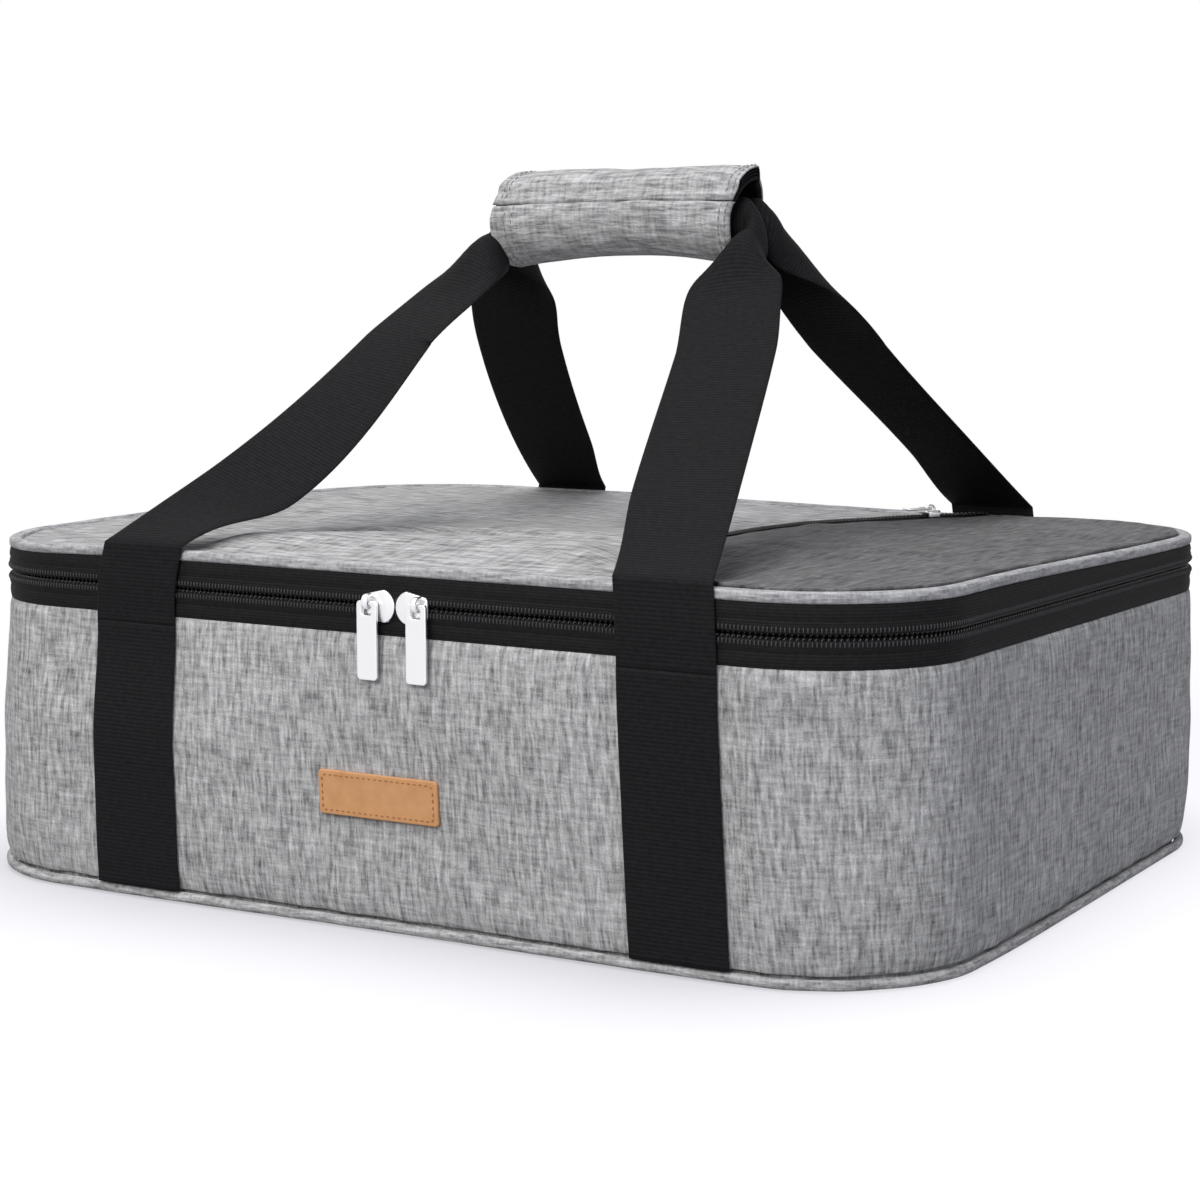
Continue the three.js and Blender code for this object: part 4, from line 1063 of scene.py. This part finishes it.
def wrap_shell(
    name, low, high, inner_at, outer_at, finish, body, swell=0.0, steps=60, lengthwise=90, seed=51
):
    """A curved pad about the wrap's axis between two angles, measured from the rear through the top, with the
    face that its stitches lie on. Its edges are rounded and its outer face swells between them. Each end
    leans with the angle: further out at the front on the left, out at the flap's corner and in at the rear on
    the right. The top is a little flattened, and both ends droop."""
    degrees = np.linspace(low, high, steps)
    k = np.sin(np.linspace(-math.pi / 2, math.pi / 2, lengthwise))
    deg, along = np.meshgrid(degrees, k, indexing="ij")
    turn = np.radians(deg)
    stations = [-94, 0, 60, 95, 135, 180, 225, 266]
    left_end = np.interp(deg, stations, [-2, 0, 0.8, 1.6, -1.5, -4.5, -4.5, -2])
    right_end = np.interp(deg, stations, [-4.5, -4.5, -1, 2.6, 0.8, -2.2, -3.2, -4.5])
    x = WRAP_X + along * WRAP_LENGTH / 2
    x = x + left_end * smooth(-along * 1.4 - 0.4) + right_end * smooth(along * 1.4 - 0.4)
    inner = np.broadcast_to(inner_at(degrees)[:, None], deg.shape)
    outer = np.broadcast_to(outer_at(degrees)[:, None], deg.shape)
    from_end = (1 - np.abs(along)) * WRAP_LENGTH / 2
    from_side = np.minimum(deg - low, high - deg) * DEGREE
    round_off = np.sqrt(np.minimum(smooth(from_end / 1.6), smooth(from_side / 1.3 + 0.15)))
    stitch = sum(np.exp(-((from_end - row) / 0.6) ** 2) for row in SEAM_ROWS)
    creases = 0.35 * ripple(x, deg * 0.3, 60, 11, seed + 1)
    puff = swell * (1 + 0.5 * ripple(x, deg * 0.3, 40, 26, seed) + creases)
    puff = puff * smooth((from_end - 5) / 12) * smooth(from_side / 8)
    middle = (inner + outer) / 2
    half = (outer - inner) / 2 * (0.3 + 0.7 * round_off)
    outer = middle + half + puff - 0.7 * swell * stitch
    inner = middle - half

    def lay(radius):
        sine = np.sin(turn)
        flattened = np.maximum(sine, 0) * 1.9 * (1 - along ** 2)
        drooped = np.minimum(sine, 0) * (2.2 - 3.6 * along ** 2)
        z = WRAP_Z + 0.5 - 1.2 * along ** 2 - flattened - drooped + radius * sine
        return np.stack([x, WRAP_FLATNESS * radius * np.cos(turn), z], -1)

    grid = np.concatenate([lay(outer), lay(inner)[:, ::-1]], 1)
    return surface(name, grid, strip_uv(deg * SKIN_DEGREE, x), finish, body), lay(outer + 0.1)


def steady(value):
    """The same radius at every angle."""
    return lambda degrees: np.full_like(degrees, value)


def flap_radius(below, over, dip, run):
    """The flap's radius at each angle: it steps out over 26 degrees to pass over the tapes, and
    dips again beyond them."""
    def radius(degrees):
        step = (over - below) * smooth((degrees - FLAP_STEP) / 26)
        return below + step - dip * smooth((degrees - TAPE_END - 1) / run)
    return radius


# Painted shade: the wrap's inner face is black so that its bore reads dark
bore_shade_lining = ribbed_cloth("black lining as painted bore shade", "#0f0f10", "#262627", 0.7, "X", 0.7)


def line_inside(piece, rows, columns, covered=0):
    """Gives the black lining, which is painted shade for the bore, to the inner half of each row of faces,
    and to the whole of the first rows, which the flap covers."""
    piece.data.materials.append(bore_shade_lining)
    inner = np.zeros((rows - 1, 2 * columns), int)
    inner[:, columns:2 * columns - 1] = 1
    inner[:covered] = 1
    slots = np.concatenate([inner.ravel(), [int(covered > 0), 0]])
    piece.data.polygons.foreach_set("material_index", slots.astype(np.int32))


pad, pad_face = wrap_shell(
    "wrap_pad_cloth", 93, BOTTOM_SEAM - 1, steady(WRAP_BORE),
    lambda d: WRAP_THIN + (WRAP_OUTER - WRAP_THIN) * smooth((d - CLOSURE - 0.3) / 3.5),
    grey_cloth, "front_handle", swell=0.7,
)
line_inside(pad, 60, 90, covered=23)
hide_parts("wrap_pad")
flap, flap_face = wrap_shell(
    "wrap_flap_cloth", BOTTOM_SEAM - 360, CLOSURE,
    flap_radius(WRAP_BORE, FLAP_LOW, 2.1, 10), flap_radius(WRAP_OUTER, FLAP_TOP, 1.7, 12),
    grey_cloth, None, swell=0.5, steps=96, seed=57,
)
line_inside(flap, 96, 90)
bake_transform(flap)
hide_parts("wrap_flap")

grip_tape = ribbed_cloth("black hook and loop tape", "#0c0c0d", "#29292b", 0.9, "X", 0.9)
for kind, low, body in (("loop", LOOP_LOW, "front_handle"), ("hook", HOOK_LOW, "flap")):
    tape = wrap_shell(
        f"wrap_{kind}_tape_strip", TAPE_START, TAPE_END, steady(low), steady(low + 0.8), grip_tape, body,
        steps=16,
    )[0]
    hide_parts(f"wrap_{kind}_tape")


def stitch_ends(path, pitch, length):
    """Starts and stops of stitches at a pitch along an open path."""
    run = lengths_along(path)
    t = np.arange(0, run[-1] - length, pitch)
    return points_at(t, run, path), points_at(t + length, run, path)


grey_thread = thread_finish("spun grey thread", "#8a8a8c", 0.7)


def end_seams(name, face, rows, body):
    """Four lines of stitches round the wrap: two rows inside each end, each on the column of points that is
    nearest to its place."""
    starts, stops = [], []
    for wanted in SEAM_ROWS:
        for end in (WRAP_X - WRAP_LENGTH / 2 + wanted, WRAP_X + WRAP_LENGTH / 2 - wanted):
            column = int(np.argmin(np.abs(face[len(face) // 2, :, 0] - end)))
            start, stop = stitch_ends(face[rows, column], 2.9, 2.1)
            starts.append(start)
            stops.append(stop)
    start, stop = np.concatenate(starts), np.concatenate(stops)
    out = unit(((start + stop) / 2 - [0, 0, WRAP_Z]) * [0, 1, 1])
    stitches(name, (start, stop), out, 0.2, grey_thread, body)


end_seams("wrap_pad_stitching", pad_face, slice(18, 58), "front_handle")
end_seams("wrap_flap_stitching", flap_face, slice(14, 94), "flap")

# Tag: a bare strip of tan leather with softened edges, laid flat on the front. It is sewn on by a line of
# waxed thread 1.7 mm in from its edge.
TAG_THICKNESS = 1.5
# Full-grain leather, dyed and lightly waxed, has a fine pebble and soft patches of tone under a dull gloss
tan_leather, tree = new_finish("tan leather")
place = add_node(tree, "TexCoord").outputs["Object"]
pebble = add_node(tree, "TexVoronoi", {"Vector": place, "Scale": 1400.0}, feature="DISTANCE_TO_EDGE")
tone = add_node(tree, "TexNoise", {"Vector": place, "Scale": 160.0, "Detail": 5.0, "Roughness": 0.6})
colour = add_node(tree, "Mix", {0: tone, 6: linear("#bd8655"), 7: linear("#dfa877")}, data_type="RGBA")
relief = add_node(tree, "Math", {0: pebble, 1: 0.5, 2: tone}, operation="MULTIPLY_ADD")
bump = add_node(tree, "Bump", {"Height": relief, "Strength": 0.3, "Distance": 0.0004})
shader = add_node(
    tree, "BsdfPrincipled",
    {"Base Color": colour.outputs[2], "Roughness": 0.58, "Normal": bump, "Specular IOR Level": 0.4},
)
add_node(tree, "OutputMaterial", {"Surface": shader})


def rounded_outline(width, height, radius, steps=8):
    """Corner arcs of a rounded rectangle about the origin, as points anticlockwise."""
    arcs = []
    for k, corner in enumerate([(1, 1), (-1, 1), (-1, -1), (1, -1)]):
        turn = np.radians(np.linspace(90 * k, 90 * k + 90, steps))
        centre = np.array(corner) * [width / 2 - radius, height / 2 - radius]
        arcs.append(centre + radius * np.stack([np.cos(turn), np.sin(turn)], -1))
    return np.concatenate(arcs)


def inward_of(ring):
    """Unit vectors into an anticlockwise outline: each point's mean heading, turned a quarter to the left."""
    forward, back = np.roll(ring, -1, 0) - ring, ring - np.roll(ring, 1, 0)
    heading = unit(forward / np.linalg.norm(forward, axis=1, keepdims=True).clip(1e-6)
                   + back / np.linalg.norm(back, axis=1, keepdims=True).clip(1e-6))
    return np.stack([-heading[:, 1], heading[:, 0]], -1)


def bevel_steps(soften):
    """(inset, depth) down a quarter round: the softening times (1 - sine, 1 - cosine)."""
    quarter = np.radians(np.linspace(0, 90, 5))
    return [(soften * (1 - math.sin(q)), soften * (1 - math.cos(q))) for q in quarter]


def slab(name, ring, thickness, soften, lay, finish, body, dome=0.0):
    """A plate from an anticlockwise outline, with a quarter round of the softening along both edges. The
    outer face rises by the dome times 1 less the square of the share of the way to the edge, and lay turns
    arrays of x, y and depth into places on the bag."""
    inward = inward_of(ring)
    bevel = bevel_steps(soften)
    profile = [(soften + 0.15, 0.0)] + bevel + [(inset, thickness - depth) for inset, depth in bevel[::-1]]
    rows = [np.insert(ring + inward * inset, 2, depth, axis=1) for inset, depth in profile]
    middle, rim = ring.mean(0), rows[-1][:, :2]
    for k in (0.96, 0.8, 0.55, 0.3, 0.05):
        rows.append(np.insert(middle + (rim - middle) * k, 2, thickness + dome * (1 - k * k), axis=1))
    flat = np.stack(rows)
    return surface(name, lay(flat[..., 0], flat[..., 1], flat[..., 2]), plan_uv(flat), finish, body)


def on_front(x, z, depth):
    """A place on the front wall: x across, z up, and depth out from 0.3 mm off the cloth."""
    return np.stack([TAG_X + x, -(BAG_DEPTH / 2 + 0.3) - depth, TAG_Z + z], -1)


tag_edge = rounded_outline(TAG_WIDTH, TAG_HEIGHT, 1.5)
tag = slab("tag", tag_edge, TAG_THICKNESS, 0.5, on_front, tan_leather, "tub")
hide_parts("leather_tag")

thread = thread_finish("waxed tan thread", "#a06a3f", 0.6)
SEAM_INSET = 1.7
seam = rounded_outline(TAG_WIDTH - 2 * SEAM_INSET, TAG_HEIGHT - 2 * SEAM_INSET, 0.8)
seam_path = on_front(seam[:, 0], seam[:, 1], np.full(len(seam), TAG_THICKNESS))
seam_ends = stitch_ends(np.concatenate([seam_path, seam_path[:1]]), 2.4, 1.6)
seam_out = np.tile([0.0, -1.0, 0.0], (len(seam_ends[0]), 1))
stitches("tag_stitching", seam_ends, seam_out, 0.24, thread, "tub")

# Main zip hardware: two die-cast sliders in bright nickel, noses together, each with a flat pull that hangs
# from a bail. The sliders ride the chain, and the upper edge stays open for the lid's coil.
SLIDER_MEET = 12.7
SLIDER_LENGTH = 13.5
PULL_X = SLIDER_LENGTH / 2 - 10.2
# Nickel plate over a polished casting is bright and soft-edged, with faint scuffs
nickel, tree = new_finish("bright nickel plate")
place = add_node(tree, "TexCoord").outputs["Object"]
scuffs = add_node(tree, "TexNoise", {"Vector": place, "Scale": 420.0, "Detail": 4.0, "Roughness": 0.6})
gloss = add_node(
    tree, "MapRange", {"Value": scuffs, "From Min": 0.3, "From Max": 0.7, "To Min": 0.3, "To Max": 0.42}
)
dimple = add_node(tree, "Bump", {"Height": scuffs, "Strength": 0.12, "Distance": 0.0002})
shader = add_node(
    tree, "BsdfPrincipled",
    {"Base Color": linear("#f0f0f1"), "Metallic": 1.0, "Roughness": gloss, "Normal": dimple},
)
add_node(tree, "OutputMaterial", {"Surface": shader})


def teardrop(length, height, tail):
    """A slider plate's outline, nose to +x: an arc of 151 degrees at the nose, straight flanks, and a tail
    with its corners cut round."""
    nose, cut = height / 2, min(1.6, tail / 3)
    arc = np.radians(np.linspace(-75.6, 75.6, 30))
    corner = np.radians(np.linspace(90, 180, 6))
    front = [length / 2 - nose, 0] + nose * np.stack([np.cos(arc), np.sin(arc)], -1)
    upper = [cut - length / 2, tail / 2 - cut] + cut * np.stack([np.cos(corner), np.sin(corner)], -1)
    return np.concatenate([front, upper, upper[::-1] * [1, -1]])


def joined(name, parts, body):
    """One piece from closed shells that touch, each already in its place."""
    whole = bmesh.new()
    for part in parts:
        whole.from_mesh(part.data)
        bpy.data.objects.remove(part)
    mesh = bpy.data.meshes.new(name)
    whole.to_mesh(mesh)
    whole.free()
    mesh.materials.append(nickel)
    piece = placed(name, mesh)
    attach(piece, body)
    return piece


def bail(at, centre, half, low, high, wide, thick, lay):
    """An arch that stands on the plate: up, over and down a rounded rectangle in the plane across the chain,
    of a section wide by thick with its corners rounded."""
    turn = np.radians(np.linspace(0, 90, 7))
    rise = high - 0.9 * half
    up = np.linspace(low, rise, 5)[:-1]
    side = np.full(4, half)
    q = centre + np.concatenate([-side, -half * np.cos(turn), half * np.sin(turn[1:]), side])
    d = np.concatenate([up, rise + 0.9 * half * np.sin(turn), rise + 0.9 * half * np.cos(turn[1:]), up[::-1]])
    path = np.stack([q, d], -1)
    heading = unit(np.gradient(path, axis=0))
    out = np.stack([-heading[:, 1], heading[:, 0]], -1)
    ring = np.linspace(0, 2 * math.pi, 16, endpoint=False)
    across = wide / 2 * np.sign(np.cos(ring)) * np.abs(np.cos(ring)) ** 0.6
    lift = thick / 2 * np.sign(np.sin(ring)) * np.abs(np.sin(ring)) ** 0.6
    p = np.broadcast_to(at + across, (len(path), 16))
    place = path[:, None] + out[:, None] * lift[:, None]
    uv = np.stack(np.meshgrid(np.arange(17) * 0.0004, np.arange(len(path)) * 0.0004), -1)
    return surface("bail", lay(p, place[..., 0], place[..., 1]), uv, nickel, None)


def pull_plate(name, width, length, thickness, bar, window, soften, lay, body):
    """A flat pull with a window at its upper end, hung by the bar above it. Its section runs round the metal
    from the outline to the window and back, with quarter rounds at all four edges."""
    outer = rounded_outline(width, length, 1.5) + [0, bar / 2 - length / 2]
    inner = rounded_outline(window[0], window[1], 0.8) + [0, -bar / 2 - window[1] / 2]
    inward, outward = inward_of(outer), -inward_of(inner)
    bevel = bevel_steps(soften)
    hold = soften + 0.2

    def rows(edge, push, steps):
        return [np.insert(edge + push * inset, 2, depth, axis=1) for inset, depth in steps]

    up = [(hold, thickness)] + [(i, thickness - d) for i, d in bevel]
    down = [(i, d) for i, d in bevel[::-1]] + [(hold, 0.0)]
    flat = np.stack(rows(outer, inward, up + down) + rows(inner, outward, down[::-1] + up[::-1]))
    grid = lay(flat[..., 0], flat[..., 1], flat[..., 2])
    pull = surface(name, grid, plan_uv(np.concatenate([flat, flat[:1]])), nickel, body, ring=True)
    return pull


# A slider is a front and a back plate, a web between them, a flange along the lower edge and the bail
for hand, turn in (("left", 1), ("right", -1)):
    middle_x = SLIDER_MEET - turn * (SLIDER_LENGTH / 2 + 0.3)

    def on_chain(p, q, d, level=0.0):
        """A place on the chain: p towards the nose, q up, and depth d out from the wall's face."""
        return np.stack(np.broadcast_arrays(middle_x + turn * p, -BAG_DEPTH / 2 - d - level, CHAIN + q), -1)

    def at_level(level, shift=(0, 0)):
        return lambda p, q, d: on_chain(p + shift[0], q + shift[1], d, level)

    slider = joined(f"slider_{hand}_casting", [
        slab("front", teardrop(SLIDER_LENGTH, 12.0, 8.4), 1.35, 0.5, at_level(0.5), nickel, None, dome=0.45),
        slab("back", teardrop(SLIDER_LENGTH, 7.4, 5.9), 1.5, 0.4, at_level(-4.8), nickel, None),
        slab("web", rounded_outline(6.7, 1.2, 0.5), 3.9, 0.05, at_level(-3.35, (1.7, 0)), nickel, None),
        slab("flange", rounded_outline(8.1, 1.3, 0.5), 2.6, 0.3, at_level(-1.3, (0, -4.85)), nickel, None),
        bail(PULL_X, centre=1.65, half=2.15, low=1.2, high=5.45, wide=2.2, thick=1.3, lay=at_level(0)),
    ], f"slider_{hand}")
    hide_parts(f"zip_slider_{hand}")
    pull = pull_plate(
        f"pull_{hand}_plate", width=8.6, length=28.0, thickness=1.4, bar=1.5, window=(4.0, 3.6), soften=0.4,
        lay=at_level(2.9, (PULL_X, 1.2)), body=f"pull_{hand}",
    )
    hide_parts(f"zip_pull_{hand}")

# Pocket zip hardware: a small slider of the same casting on the curved chain. Its pull lies along the tape,
# hung from its bail.
RADIAL = np.array([math.cos(POCKET_ANGLE), math.sin(POCKET_ANGLE), 0])
TOWARDS_NOSE = np.array([math.sin(POCKET_ANGLE), -math.cos(POCKET_ANGLE), 0])
POCKET_SEAT = np.array([POCKET_X, POCKET_Y, 133.5]) + POCKET_RADIUS * RADIAL
POCKET_SEAT[2] += lid_tilt(*POCKET_SEAT[:2])


def on_arc(level, shift=(0, 0)):
    """Places on the pocket's chain: p towards the nose, q out from the arc's centre, and d up."""
    def lay(p, q, d):
        p, q, d = np.broadcast_arrays(p + shift[0], q + shift[1], d + level)
        return POCKET_SEAT + p[..., None] * TOWARDS_NOSE + q[..., None] * RADIAL + d[..., None] * [0, 0, 1]
    return lay


pocket_slider = joined("pocket_slider_casting", [
    slab("plate", teardrop(9.0, 7.4, 5.9), 0.95, 0.35, on_arc(0.4), nickel, None, dome=0.15),
    slab("flange_in", rounded_outline(5.4, 1.0, 0.4), 2.1, 0.2, on_arc(-1.35, (0, -3.0)), nickel, None),
    slab("flange_out", rounded_outline(5.4, 1.0, 0.4), 2.1, 0.2, on_arc(-1.35, (0, 3.0)), nickel, None),
    bail(
        0.0, centre=0.0, half=2.15, low=0.8, high=3.55, wide=1.4, thick=0.9,
        lay=lambda p, q, d: on_arc(0)(q, p, d),
    ),
], "pocket_slider")
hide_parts("pocket_zip_slider")
pocket_pull = pull_plate(
    "pocket_pull_plate", width=5.4, length=13.0, thickness=1.0, bar=1.1, window=(2.8, 4.0), soften=0.3,
    lay=lambda x, y, d: on_arc(1.8, (-0.85, 0))(y, x, d), body="pocket_pull",
)
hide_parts("pocket_zip_pull")
